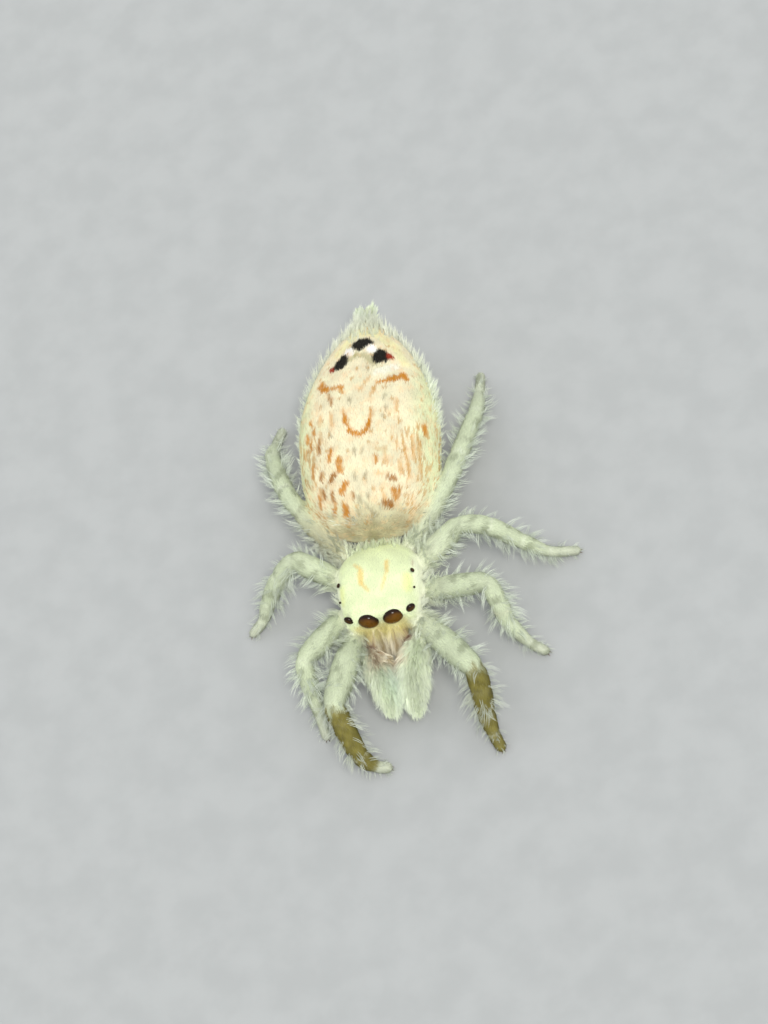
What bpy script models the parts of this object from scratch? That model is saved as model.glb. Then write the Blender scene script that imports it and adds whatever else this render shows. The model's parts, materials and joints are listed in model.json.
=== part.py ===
"""Still, life-size model of a small jumping spider standing on its eight feet.

Shapes are worked out in millimetres and scaled to metres at the end. The spider faces -Y, its
left side is at +X and the floor is the plane z = 0.
"""
import math
import random
from collections import namedtuple

import bmesh
import bpy
from mathutils import Matrix, Vector
from mathutils.bvhtree import BVHTree

METRES_PER_MM = 0.001
STANCE_CENTRE = Vector((0.45, -0.10, 0.0))   # middle of the stance, which becomes the origin
JOINT_GAP = 0.03           # between two pieces that meet face to face

# Head and thorax, in its own frame: origin at the middle of the carapace rim
PROSOMA_PLACE = Vector((0.055, -1.266, 0.708))
PROSOMA_TURN = math.radians(4.4)
PROSOMA_PITCH = math.radians(-9.0)
Station = namedtuple("Station", "y half_width top bottom box")
CARAPACE_STATIONS = (
    Station(-0.94, 0.50, 0.43, -0.02, 3.4),
    Station(-0.90, 0.57, 0.51, -0.07, 3.6),
    Station(-0.76, 0.63, 0.56, -0.18, 3.8),
    Station(-0.50, 0.69, 0.59, -0.28, 3.8),
    Station(-0.16, 0.735, 0.60, -0.33, 3.6),
    Station(0.15, 0.745, 0.55, -0.34, 3.0),
    Station(0.45, 0.68, 0.42, -0.32, 2.5),
    Station(0.70, 0.50, 0.26, -0.24, 2.2),
    Station(0.84, 0.31, 0.16, -0.14, 2.0),
    Station(0.90, 0.14, 0.08, -0.05, 2.0),
)
CARAPACE_SIDES = 26
BELLY_BOX = 2.2            # roundness of the cross-section below the rim

# Eyes: place of the ball's centre for the left side, radius and number of rings of the ball
Eye = namedtuple("Eye", "name centre radius rings")
EYES = (
    Eye("front_middle", Vector((0.213, -0.835, 0.335)), 0.168, 8),
    Eye("front_side", Vector((0.530, -0.812, 0.390)), 0.085, 7),
    Eye("small_side", Vector((0.640, -0.500, 0.455)), 0.030, 5),
    Eye("rear_side", Vector((0.640, -0.160, 0.475)), 0.055, 6),
)
SOCKET_GAP = 0.012         # between an eye and its socket

# Abdomen: the shape gives shares of its half width and half height at shares of its length
ABDOMEN_FRONT = -0.52
ABDOMEN_LENGTH = 4.45
ABDOMEN_HALF_WIDTH = 1.20
ABDOMEN_HALF_HEIGHT = 0.86
ABDOMEN_MIDDLE_Z = 1.04
ABDOMEN_REAR_DROP = 0.20
ABDOMEN_SHAPE = (
    (0.0, 0.0), (0.012, 0.27), (0.04, 0.47), (0.09, 0.65), (0.20, 0.86), (0.34, 0.97), (0.51, 1.0),
    (0.62, 0.955), (0.72, 0.86), (0.82, 0.68), (0.89, 0.48), (0.95, 0.28), (0.985, 0.14), (1.0, 0.0),
)
ABDOMEN_LEAST_SIZE = 0.03
ABDOMEN_RINGS = 22
ABDOMEN_SIDES = 28

# Legs: joint places in the spider's frame, from the coxa's root to the claw tip
Leg = namedtuple("Leg", "name root knee patella shin ankle tip girth")
LEG_ROOTS = {
    1: Vector((0.42, -0.56, -0.10)),
    2: Vector((0.46, -0.21, -0.12)),
    3: Vector((0.46, 0.14, -0.12)),
    4: Vector((0.38, 0.46, -0.10)),
}
LEGS = (
    Leg("left_1", 1, (1.61, -3.16, 1.02), (1.66, -3.42, 0.80), (1.66, -3.70, 0.44), (1.73, -4.00, 0.20),
        (1.83, -4.24, 0.09), 1.15),
    Leg("left_2", 2, (1.92, -1.69, 1.12), (2.05, -1.92, 0.90), (2.15, -2.16, 0.50), (2.42, -2.43, 0.21),
        (2.69, -2.60, 0.09), 1.0),
    Leg("left_3", 3, (1.53, -0.53, 1.08), (1.96, -0.54, 0.94), (2.43, -0.69, 0.55), (2.86, -0.81, 0.22),
        (3.34, -0.81, 0.09), 1.0),
    Leg("left_4", 4, (1.38, 0.40, 1.05), (1.54, 0.82, 0.98), (1.81, 1.83, 0.58), (1.85, 2.39, 0.28),
        (1.86, 2.85, 0.09), 1.0),
    Leg("right_1", 1, (-0.77, -3.47, 1.00), (-0.69, -3.73, 0.85), (-0.50, -4.18, 0.46), (-0.29, -4.30, 0.19),
        (-0.08, -4.32, 0.09), 1.15),
    Leg("right_2", 2, (-1.21, -2.64, 1.12), (-1.24, -2.83, 0.86), (-1.23, -3.02, 0.50), (-1.19, -3.30, 0.24),
        (-1.13, -3.63, 0.09), 1.0),
    Leg("right_3", 3, (-1.33, -0.82, 1.20), (-1.64, -0.93, 0.92), (-1.96, -1.14, 0.50), (-2.13, -1.36, 0.24),
        (-2.37, -1.53, 0.09), 1.0),
    Leg("right_4", 4, (-1.22, 0.18, 1.05), (-1.49, 0.64, 0.98), (-1.79, 1.50, 0.62), (-1.81, 1.94, 0.30),
        (-1.74, 2.34, 0.09), 1.0),
)
Tube = namedtuple("Tube", "points radii first_normal last_normal")
COXA_RADIUS = 0.140
FEMUR_RADIUS = 0.205
FEMUR_ARCH = 0.06
# Rings between root and knee: share of the way, share of the arch and share of the femur's radius
FEMUR_RINGS = ((0.30, 0.5, 0.8), (0.50, 1.0, 1.0), (0.78, 0.8, 1.0))
KNEE_RADIUS = 0.170
PATELLA_RADIUS = 0.172
PATELLA_BULGE = 1.04       # of the patella's middle against its end
TIBIA_RADIUS = 0.165
SHIN_RADIUS = 0.147        # at the shin joint, where the foot begins
ANKLE_RADIUS = 0.128
ANKLE_BULGE = 1.05         # of the foot's upper half against the ankle
FOOT_RADIUS = 0.112
LEG_SIDES = 10

# Palps, from root to brush tip, in the spider's frame
PALP_PATHS = {
    "left": ((0.66, -2.03, 0.54), (0.60, -2.42, 0.69), (0.54, -2.86, 0.70), (0.51, -3.24, 0.52),
             (0.52, -3.50, 0.34)),
    "right": ((-0.30, -2.09, 0.50), (-0.18, -2.46, 0.64), (-0.01, -2.88, 0.66), (0.05, -3.22, 0.50),
              (0.05, -3.47, 0.33)),
}
PALP_RADII = (0.10, 0.145, 0.170, 0.150, 0.07)
PALP_SIDES = 14

# Chelicerae, in the head's frame
CHELICERA_PLACE = Vector((0.165, -0.80, -0.02))
CHELICERA_LENGTH = 0.50
CHELICERA_HALF_WIDTH = 0.145
CHELICERA_HALF_DEPTH = 0.150
CHELICERA_TAPER = ((0.0, 1.0), (0.35, 1.03), (0.7, 0.92), (0.92, 0.70), (1.0, 0.45))
CHELICERA_SIDES = 12

# Coat locks: flat, tapered, sunk at the root and bent over along the lie of the coat
Locks = namedtuple("Locks", "length width thickness rise")
LOCK_SINK = 0.06
LOCK_MIDDLE = 0.45        # share of the length where a lock is widest and bends
LOCK_ROOT_WIDTH = 0.75    # share of the width that the root has
LOCK_BEND = 0.45          # share of the root's rise that is left at the tip
LOCK_SWAY = 0.22          # how far a lock leans sideways
LOCK_SIZES = (0.85, 1.12)   # least and greatest length against the usual one
LOCK_TURN = 0.12          # how far a root strays round a tube, in radians
LOCK_SEAT = 0.97          # share of a tube's radius at which a root sits
LOCK_CLEAR = 0.055        # least way from a lock to any other piece, or to the floor
LOCK_REACH = 0.30         # how far off a neighbour is looked for
LOCK_LOWER = (1.0, 0.65, 0.35)   # shares of the rise that are tried until a lock is clear
ABDOMEN_LOCKS = Locks(0.36, 0.16, 0.075, math.radians(34))
ABDOMEN_LOCK_SHARES = (0.15, 0.24, 0.33, 0.42, 0.51, 0.60, 0.68, 0.76, 0.83, 0.89, 0.94)
ABDOMEN_LOCK_ANGLES = tuple(math.radians(angle) for angle in (-14, 14, 166, 194))
ABDOMEN_REAR_SHARES = (0.87, 0.93)
ABDOMEN_REAR_ANGLES = tuple(math.radians(angle) for angle in (45, 75, 105, 135))
ABDOMEN_LOCK_TURN = 0.06  # how far a root strays round the abdomen, in radians
ABDOMEN_LOCK_SEAT = 0.01  # how deep a root sits
SURFACE_STEP = 0.01       # step along and round the abdomen that shows how its surface faces
PALP_LOCKS = Locks(0.46, 0.19, 0.075, math.radians(26))
PALP_LOCK_STARTS = (0.38, 0.54, 0.70, 0.84)
PALP_LOCKS_AROUND = 6
LEG_LOCKS = Locks(0.30, 0.12, 0.060, math.radians(44))
FEMUR_LOCK_STARTS = (0.46, 0.60, 0.74)
TIBIA_LOCK_STARTS = (0.20, 0.40, 0.60, 0.80)
FOOT_LOCK_STARTS = (0.24, 0.50)
LEG_LOCK_ANGLES = (math.radians(12), math.radians(168))
SEED = 41

# Waist, which starts in the head's frame and ends in the spider's, and spinnerets
PEDICEL_START = Vector((0.0, 0.62, 0.0))
PEDICEL_END = Vector((0.0, 0.03, 0.80))
PEDICEL_RADIUS = 0.15
PEDICEL_SIDES = 14
SPINNERET_RADII = (0.124, 0.095, 0.043)
SPINNERET_BEND = 0.6       # share of the way from root to tip at which the middle ring sits
SPINNERET_ROOT = Vector((0.0, 3.78, 0.86))
SPINNERET_TIPS = (Vector((0.10, 4.16, 0.72)), Vector((-0.10, 4.15, 0.72)), Vector((0.0, 4.05, 0.64)))
SPINNERET_SIDES = 8

# Finishes: colour and roughness
PALE_LEG_FUR = ((0.62, 0.66, 0.50), 0.85)
CREAM_FUR = ((0.83, 0.78, 0.58), 0.85)
YELLOW_HEAD_FUR = ((0.85, 0.86, 0.50), 0.85)
WHITE_BRUSH = ((0.78, 0.82, 0.76), 0.9)
OLIVE_LEG_FUR = ((0.36, 0.31, 0.13), 0.85)
EYE_LENS = ((0.06, 0.02, 0.015), 0.05)
JAW_SHELL = ((0.45, 0.27, 0.18), 0.5)


def make_material(name, colour, roughness):
    """A plain finish with the part's colour."""
    material = bpy.data.materials.new(name)
    material.use_nodes = True
    shader = material.node_tree.nodes["Principled BSDF"]
    shader.inputs["Base Color"].default_value = (*colour, 1.0)
    shader.inputs["Roughness"].default_value = roughness
    return material


def smooth_value(points, at):
    """Value at one place of a smooth curve through (place, value) pairs in rising order."""
    places = [point[0] for point in points]
    values = [point[1] for point in points]
    if at <= places[0]:
        return values[0]
    if at >= places[-1]:
        return values[-1]
    index = max(i for i in range(len(places) - 1) if places[i] <= at)

    def slope(i):
        low = max(i - 1, 0)
        high = min(i + 1, len(places) - 1)
        return (values[high] - values[low]) / (places[high] - places[low])

    width = places[index + 1] - places[index]
    t = (at - places[index]) / width
    start, end = values[index], values[index + 1]
    return (
        (2 * t**3 - 3 * t**2 + 1) * start
        + (t**3 - 2 * t**2 + t) * width * slope(index)
        + (3 * t**2 - 2 * t**3) * end
        + (t**3 - t**2) * width * slope(index + 1)
    )


def loft_mesh(name, rings, start_point=None, end_point=None):
    """Closed mesh through rings of equal count, with a point or a flat face at each end."""
    shape = bmesh.new()
    loops = [[shape.verts.new(point) for point in ring] for ring in rings]
    sides = len(loops[0])
    for low, high in zip(loops, loops[1:]):
        for i in range(sides):
            j = (i + 1) % sides
            shape.faces.new((low[i], low[j], high[j], high[i]))
    for loop, point in ((loops[0], start_point), (loops[-1], end_point)):
        if point is None:
            shape.faces.new(loop)
            continue
        tip = shape.verts.new(point)
        for i in range(sides):
            shape.faces.new((loop[i], loop[(i + 1) % sides], tip))
    bmesh.ops.triangulate(shape, faces=shape.faces)
    bmesh.ops.recalc_face_normals(shape, faces=shape.faces)
    mesh = bpy.data.meshes.new(name)
    shape.to_mesh(mesh)
    shape.free()
    return mesh


def new_object(name, mesh):
    """Object in the scene, still in millimetres."""
    piece = bpy.data.objects.new(name, mesh)
    bpy.context.scene.collection.objects.link(piece)
    return piece


def apply_boolean(piece, operation, helpers, solver="EXACT"):
    """Joins or cuts with closed helper objects, applies the result and removes the helpers."""
    group = bpy.data.collections.new("helpers")
    for helper in helpers:
        group.objects.link(helper)
    step = piece.modifiers.new("join", "BOOLEAN")
    step.operation = operation
    step.operand_type = "COLLECTION"
    step.collection = group
    step.solver = solver
    graph = bpy.context.evaluated_depsgraph_get()
    result = bpy.data.meshes.new_from_object(piece.evaluated_get(graph))
    piece.modifiers.clear()
    old = piece.data
    piece.data = result
    bpy.data.meshes.remove(old)
    for helper in list(helpers):
        bpy.data.objects.remove(helper)
    bpy.data.collections.remove(group)


def keep_largest_surface(piece):
    """Leaves only the largest closed surface of the mesh."""
    shape = bmesh.new()
    shape.from_mesh(piece.data)
    unseen = set(shape.faces)
    islands = []
    while unseen:
        start = unseen.pop()
        island = [start]
        stack = [start]
        while stack:
            face = stack.pop()
            for edge in face.edges:
                for other in edge.link_faces:
                    if other in unseen:
                        unseen.remove(other)
                        island.append(other)
                        stack.append(other)
        islands.append(island)
    islands.sort(key=lambda island: sum(face.calc_area() for face in island), reverse=True)
    for island in islands[1:]:
        bmesh.ops.delete(shape, geom=island, context="FACES")
    loose = [vert for vert in shape.verts if not vert.link_faces]
    bmesh.ops.delete(shape, geom=loose, context="VERTS")
    bmesh.ops.triangulate(shape, faces=shape.faces)
    shape.to_mesh(piece.data)
    shape.free()


def finish(piece, material):
    """Moves the origin to the stance's middle, scales to metres and gives the finish."""
    piece.data.transform(Matrix.Scale(METRES_PER_MM, 4) @ Matrix.Translation(-STANCE_CENTRE))
    piece.data.materials.clear()
    piece.data.materials.append(material)
    piece.data.shade_smooth()
    return piece


def prosoma_frame():
    """Places the head's own frame in the spider's frame."""
    turn = Matrix.Rotation(PROSOMA_TURN, 4, "Z") @ Matrix.Rotation(PROSOMA_PITCH, 4, "X")
    return Matrix.Translation(PROSOMA_PLACE) @ turn


def carapace_ring(station, grow):
    """One cross-section: boxy above the rim, round below it."""
    ring = []
    for i in range(CARAPACE_SIDES):
        angle = 2 * math.pi * i / CARAPACE_SIDES
        across, up = math.cos(angle), math.sin(angle)
        power = 2 / (station.box if up > 0 else BELLY_BOX)
        height = station.top + grow if up > 0 else -(station.bottom - grow)
        x = math.copysign(abs(across) ** power, across) * (station.half_width + grow)
        z = math.copysign(abs(up) ** power, up) * height
        ring.append(Vector((x, station.y, z)))
    return ring


def prosoma_mesh(name, grow=0.0):
    """Head and thorax as one closed form, or the same form grown all round as a cutter."""
    stations = list(CARAPACE_STATIONS)
    first, last = stations[0], stations[-1]
    stations[0] = first._replace(y=first.y - grow)
    stations[-1] = last._replace(y=last.y + grow)
    fields = ("half_width", "top", "bottom", "box")
    columns = {field: [(station.y, getattr(station, field)) for station in stations] for field in fields}
    places = []
    for here, there in zip(stations, stations[1:]):
        places.extend((here.y, (here.y + there.y) / 2))
    places.append(stations[-1].y)
    rings = []
    for y in places:
        values = {field: smooth_value(columns[field], y) for field in columns}
        rings.append(carapace_ring(Station(y, **values), grow))
    mesh = loft_mesh(name, rings)
    mesh.transform(prosoma_frame())
    return mesh


def ball(name, centre, radius, rings):
    """Closed round ball."""
    shape = bmesh.new()
    bmesh.ops.create_uvsphere(shape, u_segments=2 * rings, v_segments=rings, radius=radius)
    bmesh.ops.triangulate(shape, faces=shape.faces)
    bmesh.ops.translate(shape, verts=shape.verts, vec=centre)
    mesh = bpy.data.meshes.new(name)
    shape.to_mesh(mesh)
    shape.free()
    return new_object(name, mesh)


def build_eyes():
    """Eight glossy balls, each sunk in the head."""
    frame = prosoma_frame()
    eyes = []
    for eye in EYES:
        for side, sign in (("left", 1), ("right", -1)):
            centre = frame @ Vector((sign * eye.centre.x, eye.centre.y, eye.centre.z))
            eyes.append(ball(f"eye_{eye.name}_{side}", centre, eye.radius, eye.rings))
    return eyes


def build_prosoma():
    """Carapace and breastplate in one form, with a socket behind each eye."""
    piece = new_object("cephalothorax", prosoma_mesh("cephalothorax"))
    frame = prosoma_frame()
    sockets = []
    for eye in EYES:
        for sign in (1, -1):
            centre = frame @ Vector((sign * eye.centre.x, eye.centre.y, eye.centre.z))
            sockets.append(ball("socket", centre, eye.radius + SOCKET_GAP, eye.rings))
    apply_boolean(piece, "DIFFERENCE", sockets)
    keep_largest_surface(piece)
    return piece


def abdomen_point(share, angle, grow=0.0):
    """Place on the abdomen at a share of its length and an angle round it."""
    size = max(smooth_value(ABDOMEN_SHAPE, share), ABDOMEN_LEAST_SIZE)
    middle = ABDOMEN_MIDDLE_Z - ABDOMEN_REAR_DROP * max(0.0, share - 0.5) * 2
    x = math.cos(angle) * (ABDOMEN_HALF_WIDTH * size + grow)
    y = ABDOMEN_FRONT + share * ABDOMEN_LENGTH
    z = middle + math.sin(angle) * (ABDOMEN_HALF_HEIGHT * size + grow)
    return Vector((x, y, z))


def abdomen_mesh(name, grow=0.0):
    """Egg-shaped abdomen, widest in the middle and drawn out behind."""
    rings = []
    for k in range(1, ABDOMEN_RINGS):
        share = 0.5 - 0.5 * math.cos(math.pi * k / ABDOMEN_RINGS)
        angles = (2 * math.pi * i / ABDOMEN_SIDES for i in range(ABDOMEN_SIDES))
        rings.append([abdomen_point(share, angle, grow) for angle in angles])
    start = Vector((0.0, ABDOMEN_FRONT - grow, ABDOMEN_MIDDLE_Z))
    end = Vector((0.0, ABDOMEN_FRONT + ABDOMEN_LENGTH + grow, ABDOMEN_MIDDLE_Z - ABDOMEN_REAR_DROP))
    return loft_mesh(name, rings, start, end)


def tube_mesh(name, points, radii, sides, first_normal=None, last_normal=None):
    """Round tube through points, each ring square to the bend, with flat ends."""
    points = [Vector(point) for point in points]
    rings = []
    for i, (point, radius) in enumerate(zip(points, radii)):
        before = points[i] - points[i - 1] if i else points[1] - points[0]
        after = points[i + 1] - points[i] if i < len(points) - 1 else before
        normal = (before.normalized() + after.normalized()).normalized()
        if i == 0 and first_normal is not None:
            normal = first_normal
        if i == len(points) - 1 and last_normal is not None:
            normal = last_normal
        side = normal.cross(Vector((0, 0, 1)))
        side = side.normalized() if side.length > 1e-6 else Vector((1, 0, 0))
        up = side.cross(normal).normalized()
        ring = []
        for k in range(sides):
            angle = 2 * math.pi * k / sides
            ring.append(point + radius * (math.cos(angle) * side + math.sin(angle) * up))
        rings.append(ring)
    return loft_mesh(name, rings)


def between(start, end, share):
    """Point on the line between two points."""
    return start + (end - start) * share


def lock_shape(root, outward, along, kind, size, lower):
    """Rings and tip of one flat tapered lock, its root sunk below the surface that it grows from."""
    rise = kind.rise * lower
    start = (outward * math.sin(rise) + along * math.cos(rise)).normalized()
    end = (outward * math.sin(rise * LOCK_BEND) + along * math.cos(rise * LOCK_BEND)).normalized()
    side = start.cross(outward).normalized()
    length = kind.length * size
    middle = root + start * length * LOCK_MIDDLE
    tip = middle + end * length * (1 - LOCK_MIDDLE)
    stages = ((root - start * LOCK_SINK, start, LOCK_ROOT_WIDTH), (middle, (start + end) / 2, 1.0))
    rings = []
    for centre, direction, share in stages:
        flat = direction.normalized().cross(side)
        across = side * kind.width * size * share / 2
        through = flat * kind.thickness * share / 2
        rings.append([centre + across, centre + through, centre - across, centre - through])
    return rings, tip


def is_clear(rings, tip, obstacles):
    """Whether a lock keeps its distance from the floor and from every other piece."""
    root = sum(rings[0], Vector()) / 4
    middle = sum(rings[1], Vector()) / 4
    samples = [*rings[1], between(middle, tip, 0.5), tip]
    samples.extend(between(root, middle, share) for share in (0.0, 0.5, 0.75))
    for sample in samples:
        if sample.z < LOCK_CLEAR:
            return False
        for tree in obstacles:
            place, normal, _, distance = tree.find_nearest(sample, LOCK_REACH)
            if place is not None and (distance < LOCK_CLEAR or (sample - place).dot(normal) < 0):
                return False
    return True


def surface_tree(piece):
    """Search tree of a piece's surface."""
    verts = [vert.co for vert in piece.data.vertices]
    return BVHTree.FromPolygons(verts, [tuple(face.vertices) for face in piece.data.polygons])


def grow_locks(piece, roots, kind, draw, pieces):
    """Fuses a lock at each root, lowered until it is clear of the other pieces, or left out."""
    obstacles = [surface_tree(other) for other in pieces if other != piece]
    helpers = []
    for root, outward, along in roots:
        sway = outward.cross(along) * draw.uniform(-LOCK_SWAY, LOCK_SWAY)
        size = draw.uniform(*LOCK_SIZES)
        for lower in LOCK_LOWER:
            rings, tip = lock_shape(root, outward, (along + sway).normalized(), kind, size, lower)
            if is_clear(rings, tip, obstacles):
                helpers.append(new_object("lock", loft_mesh("lock", rings, None, tip)))
                break
    apply_boolean(piece, "UNION", helpers, "MANIFOLD")
    keep_largest_surface(piece)


def tube_roots(points, radii, starts, angles, draw):
    """Lock roots on a tube: at shares of its length and at angles round it, staggered row by row."""
    points = [Vector(point) for point in points]
    lengths = [(b - a).length for a, b in zip(points, points[1:])]
    total = sum(lengths)
    roots = []
    for row, start in enumerate(starts):
        left = start * total
        index = 0
        while index < len(lengths) - 1 and left > lengths[index]:
            left -= lengths[index]
            index += 1
        share = left / lengths[index]
        along = (points[index + 1] - points[index]).normalized()
        centre = between(points[index], points[index + 1], share)
        radius = radii[index] + (radii[index + 1] - radii[index]) * share
        side = along.cross(Vector((0, 0, 1))).normalized()
        up = side.cross(along).normalized()
        stagger = (row % 2) * 0.5 * (angles[1] - angles[0]) if len(angles) > 3 else 0.0
        for angle in angles:
            turned = angle + stagger + draw.uniform(-LOCK_TURN, LOCK_TURN)
            outward = (side * math.cos(turned) + up * math.sin(turned)).normalized()
            roots.append((centre + outward * radius * LOCK_SEAT, outward, along))
    return roots


def abdomen_roots(draw):
    """Lock roots of the pale fringe along both flanks and round the rear."""
    spots = [(share, angle) for share in ABDOMEN_LOCK_SHARES for angle in ABDOMEN_LOCK_ANGLES]
    spots.extend((share, angle) for share in ABDOMEN_REAR_SHARES for angle in ABDOMEN_REAR_ANGLES)
    roots = []
    for share, angle in spots:
        angle += draw.uniform(-ABDOMEN_LOCK_TURN, ABDOMEN_LOCK_TURN)
        place = abdomen_point(share, angle)
        rearward = (abdomen_point(share + SURFACE_STEP, angle) - place).normalized()
        round_it = (abdomen_point(share, angle + SURFACE_STEP) - place).normalized()
        outward = round_it.cross(rearward).normalized()
        if outward.dot(place - Vector((0, place.y, ABDOMEN_MIDDLE_Z))) < 0:
            outward = -outward
        roots.append((place - outward * ABDOMEN_LOCK_SEAT, outward, rearward))
    return roots


def bend_normal(before, joint, after):
    """Direction that halves the bend at a joint."""
    return ((joint - before).normalized() + (after - joint).normalized()).normalized()


def flatten_sole(piece):
    """Cuts the foot level with the floor and closes the cut."""
    shape = bmesh.new()
    shape.from_mesh(piece.data)
    everything = list(shape.verts) + list(shape.edges) + list(shape.faces)
    cut = bmesh.ops.bisect_plane(
        shape, geom=everything, dist=1e-6, plane_co=(0, 0, 0), plane_no=(0, 0, -1), clear_outer=True
    )
    edges = [item for item in cut["geom_cut"] if isinstance(item, bmesh.types.BMEdge)]
    bmesh.ops.contextual_create(shape, geom=edges)
    bmesh.ops.triangulate(shape, faces=shape.faces)
    bmesh.ops.recalc_face_normals(shape, faces=shape.faces)
    shape.to_mesh(piece.data)
    shape.free()


def leg_lengths(leg):
    """Three tubes of one leg, coxa to knee, knee to shin and the foot, each with its path and ends."""
    sign = 1 if leg.name.startswith("left") else -1
    local_root = LEG_ROOTS[leg.root]
    root = prosoma_frame() @ Vector((sign * local_root.x, local_root.y, local_root.z))
    joints = (leg.knee, leg.patella, leg.shin, leg.ankle, leg.tip)
    knee, patella, shin, ankle, tip = (Vector(joint) for joint in joints)
    knee_normal = bend_normal(root, knee, patella)
    shin_normal = bend_normal(patella, shin, ankle)
    half_gap = JOINT_GAP / 2
    arch = Vector((0, 0, FEMUR_ARCH))
    thigh = [between(root, knee, along) + arch * lift for along, lift, _ in FEMUR_RINGS]
    thigh_radii = [FEMUR_RADIUS * width for _, _, width in FEMUR_RINGS]
    femur = Tube(
        (root, *thigh, knee - knee_normal * half_gap),
        [radius * leg.girth for radius in (COXA_RADIUS, *thigh_radii, KNEE_RADIUS)],
        None,
        knee_normal,
    )
    shank_radii = (KNEE_RADIUS, PATELLA_RADIUS * PATELLA_BULGE, PATELLA_RADIUS, TIBIA_RADIUS, SHIN_RADIUS)
    tibia = Tube(
        (
            knee + knee_normal * half_gap,
            between(knee, patella, 0.5),
            patella,
            between(patella, shin, 0.5),
            shin - shin_normal * half_gap,
        ),
        [radius * leg.girth for radius in shank_radii],
        knee_normal,
        shin_normal,
    )
    foot_radii = (SHIN_RADIUS, ANKLE_RADIUS * ANKLE_BULGE, ANKLE_RADIUS, FOOT_RADIUS, FOOT_RADIUS)
    foot = Tube(
        (shin + shin_normal * half_gap, between(shin, ankle, 0.5), ankle, between(ankle, tip, 0.5), tip),
        [radius * leg.girth for radius in foot_radii],
        shin_normal,
        None,
    )
    return {"femur": femur, "tibia": tibia, "foot": foot}


def leg_tube(name, tube, grow=0.0):
    """One length of a leg as an object, or the same length grown all round as a cutter."""
    radii = [radius + grow for radius in tube.radii]
    mesh = tube_mesh(name, tube.points, radii, LEG_SIDES, tube.first_normal, tube.last_normal)
    return new_object(name, mesh)


def build_legs():
    """Plain tubes of all eight legs, with what their locks need later."""
    pieces = {}
    for leg in LEGS:
        for part, tube in leg_lengths(leg).items():
            piece = leg_tube(f"leg_{leg.name}_{part}", tube)
            if part == "foot":
                flatten_sole(piece)
            pieces[piece] = (leg, part, tube)
    return pieces


def grow_leg_locks(legs, pieces):
    """Rows of locks along both sides of every leg."""
    starts = {"femur": FEMUR_LOCK_STARTS, "tibia": TIBIA_LOCK_STARTS, "foot": FOOT_LOCK_STARTS}
    for piece, (leg, part, tube) in legs.items():
        draw = random.Random(f"{SEED} {leg.name} {part}")
        roots = tube_roots(tube.points, tube.radii, starts[part], LEG_LOCK_ANGLES, draw)
        grow_locks(piece, roots, LEG_LOCKS, draw, pieces)


def build_palps():
    """Cores of the two soft brushes that hang in front of the jaws."""
    return {
        side: new_object(f"palp_{side}", tube_mesh(f"palp_{side}", path, PALP_RADII, PALP_SIDES))
        for side, path in PALP_PATHS.items()
    }


def grow_palp_locks(palps, pieces):
    """Overlapping rows of locks round each palp, out to the brush tip."""
    angles = [2 * math.pi * k / PALP_LOCKS_AROUND for k in range(PALP_LOCKS_AROUND)]
    for side, palp in palps.items():
        draw = random.Random(f"{SEED} {side}")
        roots = tube_roots(PALP_PATHS[side], PALP_RADII, PALP_LOCK_STARTS, angles, draw)
        grow_locks(palp, roots, PALP_LOCKS, draw, pieces)


def chelicera(name, sign, grow=0.0):
    """One jaw base, hung below the face, or the same form grown all round as a cutter."""
    rings = []
    for share, size in CHELICERA_TAPER:
        drop = share * (CHELICERA_LENGTH + grow)
        middle = Vector((sign * CHELICERA_PLACE.x, CHELICERA_PLACE.y, CHELICERA_PLACE.z - drop))
        ring = []
        for i in range(CHELICERA_SIDES):
            angle = 2 * math.pi * i / CHELICERA_SIDES
            x = math.cos(angle) * (CHELICERA_HALF_WIDTH * size + grow)
            y = math.sin(angle) * (CHELICERA_HALF_DEPTH * size + grow)
            ring.append(middle + Vector((x, y, 0)))
        rings.append(ring)
    mesh = loft_mesh(name, rings)
    mesh.transform(prosoma_frame())
    return new_object(name, mesh)


def build_pedicel():
    """Narrow waist between thorax and abdomen."""
    start, end = prosoma_frame() @ PEDICEL_START, PEDICEL_END
    mesh = tube_mesh("pedicel", (start, between(start, end, 0.5), end), (PEDICEL_RADIUS,) * 3, PEDICEL_SIDES)
    return new_object("pedicel", mesh)


def build_spinnerets():
    """Three short cones joined at the root."""
    pieces = []
    for tip in SPINNERET_TIPS:
        points = (SPINNERET_ROOT, between(SPINNERET_ROOT, tip, SPINNERET_BEND), tip)
        mesh = tube_mesh("spinnerets", points, SPINNERET_RADII, SPINNERET_SIDES)
        pieces.append(new_object("spinnerets", mesh))
    main, others = pieces[0], pieces[1:]
    apply_boolean(main, "UNION", others)
    keep_largest_surface(main)
    main.name = "spinnerets"
    return main


def cut_clear(piece, cutter):
    """Trims a piece so that it stops just short of its neighbour, whose grown form is the cutter."""
    apply_boolean(piece, "DIFFERENCE", [cutter])
    keep_largest_surface(piece)


def grown_prosoma():
    """Cutter a joint gap larger than the head and thorax."""
    return new_object("cutter", prosoma_mesh("cutter", JOINT_GAP))


def grown_abdomen():
    """Cutter a joint gap larger than the abdomen."""
    return new_object("cutter", abdomen_mesh("cutter", JOINT_GAP))


def grown_femur(name):
    """Cutter a joint gap larger than one thigh."""
    leg = next(leg for leg in LEGS if leg.name == name)
    return leg_tube("cutter", leg_lengths(leg)["femur"], JOINT_GAP)


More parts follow.
